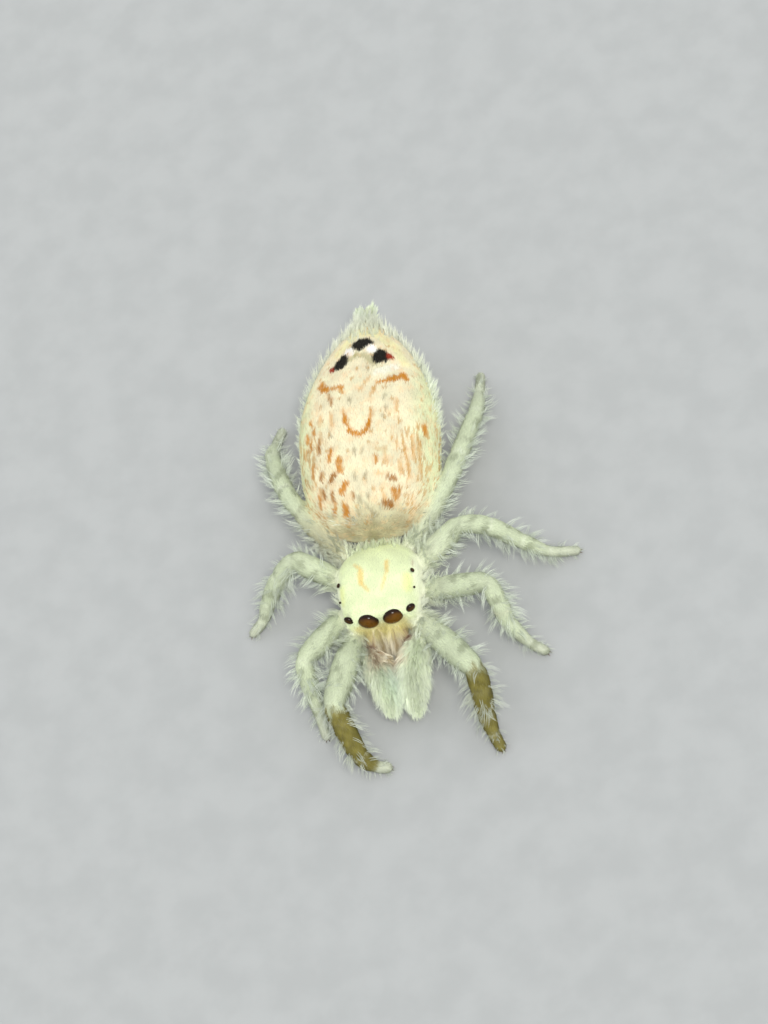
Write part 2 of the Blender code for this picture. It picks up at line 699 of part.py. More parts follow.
def build_spider():
    """Makes every piece plain, trims each to its neighbours, grows the locks and gives the finishes."""
    pale = make_material("pale_leg_fur", *PALE_LEG_FUR)
    cream = make_material("cream_fur", *CREAM_FUR)
    yellow = make_material("yellow_head_fur", *YELLOW_HEAD_FUR)
    white = make_material("white_brush", *WHITE_BRUSH)
    olive = make_material("olive_leg_fur", *OLIVE_LEG_FUR)
    black = make_material("eye_lens", *EYE_LENS)
    brown = make_material("jaw", *JAW_SHELL)

    finishes = {build_prosoma(): yellow}
    abdomen = new_object("abdomen", abdomen_mesh("abdomen"))
    cut_clear(abdomen, grown_prosoma())
    pedicel = build_pedicel()
    cut_clear(pedicel, grown_prosoma())
    cut_clear(pedicel, grown_abdomen())
    spinnerets = build_spinnerets()
    cut_clear(spinnerets, grown_abdomen())
    finishes.update({abdomen: cream, pedicel: cream, spinnerets: white})
    finishes.update({eye: black for eye in build_eyes()})
    for side, sign in (("left", 1), ("right", -1)):
        jaw = chelicera(f"chelicera_{side}", sign)
        cut_clear(jaw, grown_prosoma())
        finishes[jaw] = brown
    legs = build_legs()
    for piece, (leg, part, tube) in legs.items():
        if part == "femur":
            cut_clear(piece, grown_prosoma())
            cut_clear(piece, grown_abdomen())
        finishes[piece] = olive if leg.root == 1 and part != "femur" else pale
    palps = build_palps()
    for side, palp in palps.items():
        cut_clear(palp, grown_prosoma())
        cut_clear(palp, chelicera("cutter", 1 if side == "left" else -1, JOINT_GAP))
        cut_clear(palp, grown_femur(f"{side}_1"))
        finishes[palp] = white

    pieces = list(finishes)
    grow_palp_locks(palps, pieces)
    draw = random.Random(SEED)
    grow_locks(abdomen, abdomen_roots(draw), ABDOMEN_LOCKS, draw, pieces)
    grow_leg_locks(legs, pieces)
    for piece, material in finishes.items():
        finish(piece, material)


for old_object in list(bpy.data.objects):
    bpy.data.objects.remove(old_object)
build_spider()
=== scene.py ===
"""Looks of the jumping spider: one furred skin, eyes, claws, soft light and the camera.

Shapes are worked out in millimetres in the spider's own frame and scaled to metres at the end.
The spider faces -Y, its left side is at +X and the floor is the plane z = 0.
"""
import json
import math
import random
from collections import namedtuple

import bmesh
import bpy
import numpy as np
from mathutils import Matrix, Vector

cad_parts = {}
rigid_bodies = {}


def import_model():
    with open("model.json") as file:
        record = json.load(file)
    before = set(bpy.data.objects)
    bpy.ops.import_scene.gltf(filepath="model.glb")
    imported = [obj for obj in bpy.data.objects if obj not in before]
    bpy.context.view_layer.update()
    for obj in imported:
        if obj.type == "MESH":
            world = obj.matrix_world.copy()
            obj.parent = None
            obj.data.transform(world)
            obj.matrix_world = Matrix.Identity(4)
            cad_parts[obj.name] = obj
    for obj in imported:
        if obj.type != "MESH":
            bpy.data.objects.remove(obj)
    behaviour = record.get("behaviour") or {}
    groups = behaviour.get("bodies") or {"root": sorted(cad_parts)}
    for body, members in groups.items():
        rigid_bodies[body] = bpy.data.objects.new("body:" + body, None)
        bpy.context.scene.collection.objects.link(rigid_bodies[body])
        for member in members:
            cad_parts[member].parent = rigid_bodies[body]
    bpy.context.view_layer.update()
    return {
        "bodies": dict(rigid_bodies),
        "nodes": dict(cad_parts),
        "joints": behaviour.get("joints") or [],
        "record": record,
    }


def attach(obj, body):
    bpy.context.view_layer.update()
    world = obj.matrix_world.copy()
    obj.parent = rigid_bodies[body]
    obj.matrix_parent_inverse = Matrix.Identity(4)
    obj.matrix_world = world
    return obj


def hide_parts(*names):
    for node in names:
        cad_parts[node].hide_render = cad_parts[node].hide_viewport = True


BODY = "root"
METRES_PER_MM = 0.001
MM_PER_METRE = 1000.0
STANCE_CENTRE = Vector((0.45, -0.10, 0.0))    # middle of the stance, which is the model's origin

# Camera, from the photo: target and distance in millimetres, angles in degrees
CAMERA_TARGET = Vector((0.206, 0.0, 0.944))
CAMERA_AZIMUTH = 22.0
CAMERA_ELEVATION = 60.0
CAMERA_ROLL = -27.6
CAMERA_DISTANCE = 56.64
PIXELS_PER_MM = 59.0
PICTURE_HEIGHT = 1024
SENSOR_WIDTH = 36.0
CAMERA_CLIP = (0.001, 5.0)

# Floor and light
FLOOR_HALF = 0.25
KEY_STRENGTH = 2.2
KEY_SOFTNESS = math.radians(22)
KEY_TINT = (1.0, 0.98, 0.93)
KEY_FROM = Vector((0.26, -0.42, 1.0))
SURROUNDING_TINT = (0.93, 0.97, 1.0)
SURROUNDING_STRENGTH = 0.74

# Head and thorax, in its own frame: origin at the middle of the carapace rim
PROSOMA_PLACE = Vector((0.055, -1.266, 0.708))
PROSOMA_TURN = math.radians(4.4)
PROSOMA_PITCH = math.radians(-9.0)
Station = namedtuple("Station", "y half_width top bottom box")
CARAPACE_STATIONS = (
    Station(-0.94, 0.50, 0.43, -0.02, 3.4),
    Station(-0.90, 0.57, 0.51, -0.07, 3.6),
    Station(-0.76, 0.63, 0.56, -0.18, 3.8),
    Station(-0.50, 0.69, 0.59, -0.28, 3.8),
    Station(-0.16, 0.735, 0.60, -0.33, 3.6),
    Station(0.15, 0.745, 0.55, -0.34, 3.0),
    Station(0.45, 0.68, 0.42, -0.32, 2.5),
    Station(0.70, 0.50, 0.26, -0.24, 2.2),
    Station(0.84, 0.31, 0.16, -0.14, 2.0),
    Station(0.90, 0.14, 0.08, -0.05, 2.0),
)
BELLY_BOX = 2.2            # roundness of the cross-section below the rim
HEAD_COAT_DEPTH = 0.025
CARAPACE_RINGS = 48
CARAPACE_SIDES = 72
LEAST_HEIGHT = 0.01        # keeps the ends of a form open, and LEAST_REACH those inside the coat
LEAST_REACH = 0.004
BACK_LIE = (0.0, 1.0, 0.0)         # which way the coat lies on the carapace and on the face
FACE_LIE = (0.0, -0.25, -1.0)
LIE_OUTWARD = 0.25                 # how far it turns outwards for each millimetre from the middle

# Each eye's middle, and its lens: half width, half depth, shift forward and the way its axis looks
Eye = namedtuple("Eye", "name centre half_width half_depth forward look")
EYES = (
    Eye("front_middle", Vector((0.214, -0.835, 0.330)), 0.180, 0.105, 0.065, (0.20, -1.0, -0.16)),
    Eye("front_side", Vector((0.530, -0.812, 0.390)), 0.087, 0.054, 0.037, (0.50, -0.9, -0.18)),
    Eye("small_side", Vector((0.640, -0.500, 0.455)), 0.022, 0.020, 0.0, (1.0, -0.1, 0.5)),
    Eye("rear_side", Vector((0.640, -0.160, 0.475)), 0.042, 0.025, 0.0, (1.0, 0.1, 0.75)),
)
EYE_CLEARANCE = (0.010, 0.035)     # bare skin round a lens, and where the coat is full again
SIDE_EYE_DARKNESS = 0.70           # how far the six smaller lenses go to the dark rim's colour
LENS_LEVELS = 24
LENS_SIDES = 40
LENS_RIM = (0.24, 0.46)            # share of the way round a lens between which the dark rim begins

# Abdomen
ABDOMEN_FRONT = -0.52
ABDOMEN_LENGTH = 4.45
ABDOMEN_HALF_WIDTH = 1.25
ABDOMEN_MIDDLE_X = 0.04
ABDOMEN_HALF_HEIGHT = 0.86
ABDOMEN_MIDDLE_Z = 1.04
ABDOMEN_REAR_DROP = 0.20
ABDOMEN_SHAPE = (
    (0.0, 0.0), (0.012, 0.35), (0.04, 0.58), (0.09, 0.77), (0.20, 0.945), (0.34, 1.0), (0.51, 0.985),
    (0.62, 0.90), (0.72, 0.765), (0.82, 0.58), (0.89, 0.40), (0.95, 0.225), (0.985, 0.11), (1.0, 0.0),
)
ABDOMEN_COAT_DEPTH = 0.035
ABDOMEN_RINGS = 90
ABDOMEN_SIDES = 96
ABDOMEN_END = 0.02                 # how near the first and last rings are to the ends, as an angle

# Legs: joint places, from the knee to the claw tip, and the thickness against the middle legs'
Leg = namedtuple("Leg", "name root knee patella shin ankle tip girth")
LEG_ROOTS = {
    1: Vector((0.42, -0.56, -0.10)),
    2: Vector((0.46, -0.21, -0.12)),
    3: Vector((0.46, 0.14, -0.12)),
    4: Vector((0.38, 0.46, -0.10)),
}
LEGS = (
    Leg("left_1", 1, (1.61, -3.16, 1.02), (1.66, -3.42, 0.80), (1.66, -3.70, 0.44),
        (1.73, -4.00, 0.20), (1.83, -4.24, 0.09), 1.15),
    Leg("left_2", 2, (1.92, -1.69, 1.12), (2.05, -1.92, 0.90), (2.15, -2.16, 0.50),
        (2.42, -2.43, 0.21), (2.69, -2.60, 0.09), 1.0),
    Leg("left_3", 3, (1.53, -0.53, 1.08), (1.96, -0.54, 0.94), (2.43, -0.69, 0.55),
        (2.86, -0.81, 0.22), (3.34, -0.81, 0.09), 1.0),
    Leg("left_4", 4, (1.38, 0.40, 1.05), (1.54, 0.82, 0.98), (1.81, 1.83, 0.58),
        (1.85, 2.39, 0.28), (1.86, 2.85, 0.09), 1.0),
    Leg("right_1", 1, (-0.77, -3.47, 1.00), (-0.69, -3.73, 0.85), (-0.50, -4.18, 0.46),
        (-0.29, -4.30, 0.19), (-0.08, -4.32, 0.09), 1.15),
    Leg("right_2", 2, (-1.21, -2.64, 1.12), (-1.24, -2.83, 0.86), (-1.23, -3.02, 0.50),
        (-1.19, -3.30, 0.24), (-1.13, -3.63, 0.09), 1.0),
    Leg("right_3", 3, (-1.33, -0.82, 1.20), (-1.64, -0.93, 0.92), (-1.96, -1.14, 0.50),
        (-2.13, -1.36, 0.24), (-2.37, -1.53, 0.09), 1.0),
    Leg("right_4", 4, (-1.22, 0.18, 1.05), (-1.49, 0.64, 0.98), (-1.79, 1.50, 0.62),
        (-1.81, 1.94, 0.30), (-1.74, 2.34, 0.09), 1.0),
)
FEMUR_ARCH = 0.06
THIGH = ((0.30, 0.5), (0.50, 1.0), (0.78, 0.8))    # shares of the way to the knee, with shares of the arch
# Flesh radius at the root, 30%, 50% and 78% of the thigh, knee, patella, shin, ankle and tip
LEG_RADII = (0.138, 0.156, 0.190, 0.192, 0.154, 0.160, 0.138, 0.098, 0.082)
JOINT_CREASES = (4, 5, 6, 7)       # places of LEG_RADII where the segments meet
CREASE_DEPTH = 0.10
CREASE_WIDTH = 0.045
LEG_STEPS = 7                      # rings between two places of a leg
JAW_STRIPE_PITCH = 0.125
JAW_SPOT = (0.37, -1.03, 0.115)     # across, along and size of the rose-brown spot at both sides
JOINT_LIGHT_WIDTH = 0.035
TUBE_SIDES = 20
TUBE_START = 0.2                   # how far a tube's rounded start goes on, as a share of its first step
TUBE_END = 0.7                     # how far its rounded end goes on, as a share of the radius there

PALP_PATHS = {
    "left": ((0.72, -2.03, 0.52), (0.63, -2.43, 0.68), (0.54, -2.86, 0.70), (0.51, -3.24, 0.52),
             (0.52, -3.50, 0.34)),
    "right": ((-0.34, -2.09, 0.47), (-0.20, -2.47, 0.62), (-0.01, -2.88, 0.65),
              (0.05, -3.22, 0.50), (0.05, -3.46, 0.33)),
}
PALP_RADII = (0.125, 0.170, 0.195, 0.165, 0.080)

# Chelicerae and fangs, in the head's frame
CHELICERA_PLACE = Vector((0.165, -0.80, -0.02))
CHELICERA_LENGTH = 0.50
CHELICERA_RADII = (0.145, 0.164, 0.163, 0.145, 0.090)
JAW_LEAN = 0.60
JAW_LIFT = 0.10            # how far the jaws' roots reach up into the head
JAW_REACH = 0.06           # how far their flesh goes on past their length

WAIST_START = Vector((0, 0.62, 0.0))                    # in the head's frame
WAIST_END = Vector((0, ABDOMEN_FRONT + 0.55, 0.80))
PEDICEL_RADIUS = 0.13
SPINNERET_ROOT = Vector((0.0, 3.72, 0.87))
SPINNERET_TIPS = (Vector((0.10, 4.12, 0.73)), Vector((-0.10, 4.11, 0.73)), Vector((0.0, 4.01, 0.65)))
SPINNERET_RADII = (0.115, 0.085, 0.045)
SPINNERET_BEND = 0.6

# Claws: a pair at the end of each foot
CLAW_LENGTH = 0.065
CLAW_WIDTH = 0.018
CLAW_TAPER = 0.7
CLAW_CURL = 1.3
CLAW_STEPS = 5
CLAW_SIDES = 6
CLAW_FORWARD = 0.02
CLAW_APART = 0.022
CLAW_DROP = 0.025
CLAW_SPLAY = 0.2

# Skin
SKIN_VOXEL = 0.030
SKIN_SMOOTHING = 4
SKIN_SOFTNESS = 0.5
SKIN_EDGE_BLEND = 0.06     # how far the colours of two regions run into each other

# Colours, linear
CREAM = (0.84, 0.77, 0.54)
FLANK = (0.73, 0.76, 0.47)
BELLY = (0.70, 0.68, 0.50)
HEAD = (0.82, 0.90, 0.56)
HEAD_REAR_PAINTED_LIGHT = 0.10     # painted light: how much lighter the carapace is made towards its rear, against the shade there
# The cheeks' own pale colour, made paler still as painted light against the shade on the carapace's sides;
# the waist takes it too
CHEEK_WITH_PAINTED_LIGHT = (0.96, 0.98, 0.78)
NAPE = (0.66, 0.58, 0.38)
PALE_NAPE = (0.76, 0.80, 0.60)
FACE = (0.74, 0.68, 0.32)
# warm brown at the root of the right hind leg, darkened further as painted shade
WARM_COXA_AND_SHADE = (0.48, 0.42, 0.26)
JAW = (0.86, 0.79, 0.60)
JAW_STRIPE = (0.30, 0.120, 0.062)
JAW_MIDDLE_STRIPE = (0.38, 0.27, 0.100)
JAW_SPOT_COLOUR = (0.24, 0.078, 0.038)
PALP_SHADE = (0.50, 0.66, 0.54)
PALE_LEG = (0.56, 0.62, 0.43)
PALE_FOOT = (0.52, 0.55, 0.42)
OLIVE_LEG = (0.140, 0.122, 0.027)
LEG_SMUDGE = (0.22, 0.25, 0.15)
WHITE_BRUSH = (0.76, 0.83, 0.62)
JOINT_LIGHT = (0.80, 0.84, 0.68)
LONG_HAIR = (0.72, 0.78, 0.68)
INKS = {
    "black": (0.010, 0.008, 0.004),
    "red": (0.33, 0.035, 0.012),
    "white": (0.95, 0.93, 0.88),
    "soft_white": (0.93, 0.93, 0.86),
    "olive": (0.34, 0.31, 0.10),
    "orange": (0.57, 0.225, 0.010),
    "pale": (0.70, 0.38, 0.11),
    "brown": (0.37, 0.142, 0.010),
    "dark": (0.30, 0.24, 0.13),
    "rim": (0.90, 0.86, 0.44),
    "amber": (0.86, 0.62, 0.20),
    "yellow": (0.82, 0.85, 0.25),
    "rose": (0.36, 0.13, 0.075),
    "gold": (0.60, 0.50, 0.14),
    "umber": (0.15, 0.105, 0.030),
}
# Marks on the abdomen, seen from above: ink, then from x, y, to x, y and half width of each stroke
Stroke = namedtuple("Stroke", "ink start end half_width")
ABDOMEN_MARKS = (
    ("rim", (-0.40, 2.90, -0.20, 3.22, 0.090), (-0.14, 3.36, 0.24, 3.36, 0.110),
     (0.30, 3.28, 0.62, 2.92, 0.090), (0.66, 2.82, 0.80, 2.50, 0.070)),
    ("olive", (-0.14, 2.66, -0.06, 2.74, 0.060), (-0.04, 2.76, 0.14, 2.70, 0.060),
     (0.20, 2.60, 0.30, 2.48, 0.065)),
    ("soft_white", (0.37, 2.26, 0.63, 2.40, 0.085)),
    ("orange", (-0.68, 2.22, -0.59, 2.09, 0.076), (-0.54, 2.07, -0.25, 2.01, 0.042),
     (-0.31, 2.07, -0.23, 1.88, 0.034), (0.39, 2.02, 0.62, 2.09, 0.041),
     (0.60, 2.09, 0.79, 2.20, 0.064), (0.79, 2.22, 0.83, 2.10, 0.042)),
    ("pale", (0.36, 2.00, 0.24, 1.69, 0.027), (0.23, 2.16, 0.06, 1.88, 0.031)),
    ("orange", (-0.22, 1.51, -0.20, 1.30, 0.028), (-0.20, 1.30, -0.14, 1.12, 0.032),
     (-0.14, 1.12, -0.05, 1.02, 0.037), (-0.05, 1.02, 0.06, 0.99, 0.042),
     (0.06, 0.99, 0.16, 1.06, 0.050), (0.16, 1.06, 0.22, 1.20, 0.043), (0.22, 1.20, 0.26, 1.46, 0.028)),
    ("brown", (-0.51, 1.95, -0.44, 1.71, 0.029)),
    ("pale", (-0.45, 1.45, -0.44, 1.29, 0.037), (-0.66, 1.52, -0.67, 1.37, 0.037)),
    ("brown", (-0.69, 1.08, -0.70, 0.86, 0.031)),
    ("orange", (-0.48, 0.84, -0.52, 0.62, 0.044), (-0.35, 0.61, -0.33, 0.42, 0.063)),
    ("brown", (-0.43, 0.36, -0.52, 0.28, 0.046), (-0.67, 0.47, -0.69, 0.36, 0.032)),
    ("orange", (-0.25, 0.15, -0.33, 0.04, 0.051)),
    ("brown", (-0.50, 0.07, -0.50, -0.05, 0.036)),
    ("orange", (-0.46, -0.11, -0.51, -0.20, 0.039), (-0.31, -0.17, -0.30, -0.25, 0.057)),
    ("pale", (0.32, 0.68, 0.45, 0.69, 0.037), (0.46, 0.64, 0.46, 0.43, 0.037)),
    ("orange", (0.30, 0.54, 0.28, 0.45, 0.037)),
    ("pale", (0.29, 0.26, 0.39, 0.24, 0.027)),
    ("brown", (0.46, 0.19, 0.57, 0.15, 0.037)),
    ("orange", (0.52, -0.01, 0.53, -0.13, 0.044)),
    ("pale", (0.35, 0.01, 0.37, -0.16, 0.031)),
    ("brown", (0.36, -0.21, 0.43, -0.22, 0.051)),
    ("orange", (1.07, 1.21, 1.09, 1.04, 0.037)),
    ("pale", (0.66, 0.46, 0.68, 0.30, 0.031), (0.81, 0.42, 0.80, 0.19, 0.029),
     (0.90, 0.95, 0.90, 0.51, 0.029), (0.76, 0.72, 0.81, 0.32, 0.029), (0.99, 0.90, 0.98, 0.34, 0.029)),
    ("dark", (-0.06, 0.74, -0.07, 0.65, 0.027), (0.08, 0.72, 0.07, 0.65, 0.027),
     (-0.08, 0.31, -0.07, 0.22, 0.029), (0.11, 0.26, 0.10, 0.20, 0.032),
     (-0.05, -0.08, -0.03, -0.16, 0.032), (0.12, -0.06, 0.11, -0.15, 0.031),
     (0.03, -0.18, 0.13, -0.32, 0.025), (-0.11, -0.26, -0.10, -0.32, 0.025),
     (-0.11, 1.74, -0.11, 1.66, 0.027), (0.18, 2.41, 0.19, 2.30, 0.022),
     (0.50, 1.76, 0.48, 1.66, 0.027), (0.52, 1.49, 0.52, 1.43, 0.025), (0.45, 1.32, 0.47, 1.26, 0.025),
     (-0.48, 1.15, -0.47, 1.07, 0.027)),
    ("umber", (-0.30, -0.33, -0.19, -0.34, 0.020), (0.12, -0.35, 0.20, -0.33, 0.024),
     (-0.64, -0.19, -0.50, -0.26, 0.022)),
    ("orange", (-0.86, 1.52, -0.84, 1.40, 0.030), (-0.94, 1.30, -0.93, 1.16, 0.030),
     (-0.78, 1.34, -0.80, 1.22, 0.032), (-0.86, 1.12, -0.87, 0.96, 0.030)),
    ("pale", (-0.98, 1.02, -0.97, 0.84, 0.030)),
    ("orange", (-0.84, 0.66, -0.85, 0.48, 0.030)),
    ("brown", (-0.66, 0.16, -0.65, 0.04, 0.030)),
    ("orange", (-0.76, 0.12, -0.74, -0.04, 0.026)),
    ("brown", (-0.15, -0.02, -0.13, -0.10, 0.028)),
    ("orange", (0.62, 0.04, 0.60, -0.08, 0.030)),
    ("pale", (0.70, 1.62, 0.66, 1.44, 0.026)),
)
# Larger marks at the rear end, as outlines seen from above
Patch = namedtuple("Patch", "ink corners")
ABDOMEN_PATCHES = (
    Patch("black", ((-0.14, 3.02), (-0.11, 3.12), (-0.01, 3.20), (0.13, 3.19), (0.23, 3.12), (0.26, 3.02),
                    (0.19, 2.98), (0.11, 2.95), (0.07, 2.86), (-0.01, 2.86), (-0.10, 2.93))),
    Patch("black", ((0.32, 2.82), (0.39, 2.89), (0.48, 2.80), (0.54, 2.70), (0.56, 2.61), (0.52, 2.54),
                    (0.45, 2.50), (0.38, 2.47), (0.31, 2.48), (0.26, 2.60), (0.24, 2.66), (0.28, 2.75))),
    Patch("red", ((0.50, 2.77), (0.56, 2.74), (0.63, 2.64), (0.60, 2.56), (0.53, 2.55), (0.49, 2.64))),
    Patch("black", ((-0.27, 2.82), (-0.19, 2.79), (-0.19, 2.63), (-0.23, 2.49), (-0.32, 2.44), (-0.43, 2.46),
                    (-0.47, 2.53), (-0.45, 2.64), (-0.38, 2.72), (-0.32, 2.81))),
    Patch("red", ((-0.53, 2.58), (-0.47, 2.60), (-0.42, 2.46), (-0.46, 2.43), (-0.52, 2.48))),
    Patch("white", ((-0.27, 2.90), (-0.25, 2.98), (-0.18, 2.99), (-0.12, 2.94), (-0.08, 2.85), (-0.10, 2.78),
                    (-0.17, 2.76), (-0.24, 2.81))),
    Patch("white", ((0.12, 2.88), (0.14, 2.96), (0.22, 2.99), (0.29, 2.95), (0.33, 2.86), (0.30, 2.78),
                    (0.23, 2.75), (0.16, 2.79))),
)
# Marks on the head, in its own frame
HEAD_STROKES = (
    Stroke("amber", (-0.34, 0.16, 0.53), (-0.22, -0.01, 0.57), 0.031),
    Stroke("amber", (-0.23, -0.05, 0.58), (-0.23, -0.29, 0.59), 0.051),
    Stroke("amber", (-0.23, -0.31, 0.59), (-0.12, -0.49, 0.59), 0.034),
    Stroke("amber", (0.23, 0.06, 0.56), (0.22, -0.18, 0.60), 0.041),
    Stroke("amber", (0.21, -0.20, 0.60), (0.11, -0.53, 0.59), 0.029),
    Stroke("yellow", (0.56, -0.33, 0.51), (0.54, -0.53, 0.51), 0.093),
    Stroke("yellow", (-0.60, -0.31, 0.49), (-0.61, -0.53, 0.45), 0.068),
    Stroke("yellow", (-0.05, 0.73, 0.24), (0.17, 0.64, 0.29), 0.051),
    Stroke("rose", (0.66, 0.11, 0.38), (0.65, -0.04, 0.42), 0.020),
    Stroke("gold", (-0.26, -0.94, 0.07), (0.22, -0.94, 0.06), 0.080),
)
INK_STRENGTH = {
    "pale": 0.65, "rim": 0.60, "soft_white": 0.6, "olive": 0.55, "dark": 0.65, "amber": 0.75, "yellow": 0.45,
    "gold": 0.5, "brown": 0.97, "rose": 0.7, "umber": 0.5,
}
INK_EDGE = 0.018
SOFT_INK_EDGES = {"yellow": 0.060, "rim": 0.045, "soft_white": 0.035, "gold": 0.050}

# Fine pattern of the abdomen: tints, strengths, noise scales and the values between which each part fades in
NET_TINT = (0.88, 0.58, 0.30)
CLOUD_TINT = (0.78, 0.84, 0.58)
STREAK_TINT = (0.54, 0.27, 0.048)
SPECK_TINT = (0.54, 0.28, 0.054)
NET_STRENGTH = 0.35
SPECK_STRENGTH = 0.58
NET_SCALE = 7.0
NET_EDGE = (0.50, 0.62)
CLOUD_SCALE = 2.2
CLOUD_EDGE = (0.5, 0.75)
STREAK_STRETCH = (25.0, 3.4, 12.0)
STREAK_EDGE = (0.54, 0.61)
STREAKS_FROM_MIDDLE = (0.45, 0.75)
STREAKS_ALONG = (1.7, 1.0)
SPECK_SCALE = 5.0
SPECK_EDGE = (0.23, 0.13)
MARKS_ABOVE = (0.85, 1.1)
UNMARKED_GREY = (0.22, 0.55)       # darker places are painted marks and stay as they are

# Fur, skin, lens, horn and floor finishes
NOISE_MIDDLE = (0.3, 0.7)          # the part of a noise that carries its pattern
BROAD_SCALE = 3.0
BROAD_LEVELS = (0.90, 1.06)
# painted shade: each hair is darker towards its root, down in the coat
ROOT_SHADE = (0.0, 0.35, 0.72, 1.0)
TIP_PART = (0.3, 1.0)
TIP_TINT = (0.92, 0.93, 0.86)
PALE_GREY = (0.12, 0.60)           # only fur paler than this is lighter at its tips
FUR_ROUGHNESS = (0.62, 0.48)
FUR_SPECULAR = 0.14
FUR_SHEEN = 0.03
SKIN_ROUGHNESS = (0.62, 0.50)
GRAIN_STRETCH = (60.0, 60.0, 9.0)
GRAIN_SHADE = (0.35, 0.65, 0.80, 1.0)
GRAIN_HEIGHT = 0.008
GRAIN_STRENGTH = 0.5
EYE_DEEP = (0.095, 0.038, 0.0020)
EYE_GLOW = (0.150, 0.060, 0.0030)
EYE_RIM = (0.016, 0.006, 0.002)
EYE_ROUGHNESS = (0.07, 0.12)
EYE_GLOW_SCALE = 9.0
EYE_GLOSS_SCALE = 30.0
EYE_SPECULAR = 0.18
EYE_VARNISH = (0.12, 0.10)         # strength and roughness of the clear layer on a lens
HORN_DARK = (0.09, 0.055, 0.030)
HORN_PALE = (0.20, 0.13, 0.07)
HORN_ROUGHNESS = (0.25, 0.4)
HORN_SCALE = 24.0
FLOOR_DARK = (0.40, 0.41, 0.41)
FLOOR_PALE = (0.43, 0.44, 0.44)
FLOOR_SCALE = 1.5
FLOOR_ROUGHNESS = 0.8

OLIVE_SHADE = 0.80
UMBER_SHADE = 0.70
UMBER_LEVEL = 0.65
INK_LEVEL = 0.92
MARKS_FROM_HEIGHT = ABDOMEN_MIDDLE_Z - 0.1
LEG_PAINTED_LIGHT = (0.70, 0.36)          # painted shade on a leg's underside, and the painted light its top adds
# painted light on the olive part of the front legs: its level underneath, and what its top adds
OLIVE_PAINTED_LIGHT = (0.62, 0.80)
JOINT_LIGHT_AMOUNT = 0.40
JAW_STRIPE_SHIFT = 1.2
JAW_SPOT_AMOUNT = 0.9
PALP_SHADE_AT = (0.02, 0.16, 0.6)  # middle, half width and strength of the painted blue-green shade between the palps
FRINGE_SIDE_AMOUNT = 0.9
HAIR_ON_TOP = 0.08                 # how much of each hair is left where the table's amounts are not added
BEARD_BEHIND = 0.35
FRINGE_IN_FRONT = 0.45
PALP_ROOT_HAIR = 0.50
SPINNERET_HAIR = 0.8
FACE_SHIFT = 0.03                  # how far the golden face sits to the spider's right
# Where effects on colours and coats start and where they are full: millimetres across, along and up in
# the part's own frame, shares of its length, or how far the skin faces up, sideways or ahead. A third
# number is the amount at full, where that isn't 1
EDGES = {
    "flank": (0.74, 1.12), "belly": (0.95, 0.55), "olive_front": (0.05, -0.52),
    "olive_height": (0.7, 1.1), "umber_front": (-0.26, -0.48), "umber_height": (0.8, 1.1),
    "head_rear": (0.10, 0.60), "head_rim": (0.34, 0.12), "cheek": (0.56, 0.70, 0.8), "nape": (0.74, 0.92),
    "nape_side": (-0.10, 0.35), "face_side": (0.54, 0.38), "face_front": (-0.80, -0.92),
    "face_height": (0.34, 0.22), "face_lie": (-0.84, -0.92), "jaw_front": (-0.78, -0.90),
    "jaw_height": (0.05, -0.05), "jaw_gold": (-0.985, -0.925), "jaw_gold_side": (0.50, 0.34),
    "stripe": (-0.1, 0.5, 0.74), "rose_stripes": (0.10, 0.26, 0.55), "face_patches": (0.2, 0.9, 0.45),
    "palp_shade": (-2.2, -1.7), "palp_stripes": (-1.60, -1.38), "palp_stripes_side": (0.42, 0.29),
    "lit_crest": (-0.3, 0.95), "foot": (0.70, 1.0), "smudge": (0.35, 1.1, 0.55),
    "pale_coxa": (0.34, 0.12, 0.85), "warm_coxa_and_shade": (0.42, 0.20, 0.6), "olive_leg": (0.51, 0.58),
    "olive_leg_end": (0.95, 0.88), "fringe_side": (0.45, 0.10), "fringe_start": (0.15, 0.50),
    "fringe_rear": (0.80, 0.97), "fringe_front": (0.03, 0.12), "long_fringe": (0.30, 0.72, 0.55),
    "brow": (0.10, 0.03, 0.5), "brow_top": (0.35, 0.75), "leg_side": (0.70, 0.25, 0.92),
    "leg_hair_start": (0.10, 0.25), "foot_brush": (0.86, 0.97, 1.3), "short_foot": (0.72, 1.0, 0.35),
    "slim_foot": (0.78, 1.0, 0.62), "palp_outside": (0.1, 0.7), "palp_inside": (0.2, 0.9, 0.35),
    "palp_start": (0.15, 0.35), "palp_middle": (0.3, 0.5), "bushy_palp": (0.08, 0.38, 0.60),
    "palp_point": (0.50, 1.0, 0.62), "collar_nape": (0.45, 0.70), "collar_coxa": (0.22, 0.10),
    "collar_rim": (0.16, 0.02), "collar_front": (-0.74, -0.55), "face_hair": (-0.80, -0.88),
    "face_hair_height": (0.36, 0.26), "beard": (-0.74, -0.84), "beard_height": (0.08, -0.03),
    "jaw_ahead": (0.3, -0.3, 0.65),
}
# Size in millimetres and random seed of each made-up noise that breaks up the colours, and its strength
# where that isn't 1
WAVES = {
    "olive_edge": (0.5, 3, 0.05), "umber_patches": (0.22, 4, 0.35), "ink_across": (0.13, 21, 0.012),
    "ink_along": (0.13, 22, 0.012), "ink_depth": (0.10, 23, 0.08), "jaw_bend": (0.25, 31, 0.012),
    "jaw_breaks": (0.09, 32, 0.5), "face_patches": (0.17, 33), "smudge": (0.30, 41),
    "fine_smudge": (0.08, 42, 0.4), "olive_leg_edge": (0.12, 43, 0.02), "olive_leg": (0.16, 44, 0.14),
}
WAVE_COUNT = 7             # waves that make up one noise, the spread of their sizes and what evens them out
WAVE_SIZES = (0.6, 1.5)
WAVE_LEVEL = 2.6

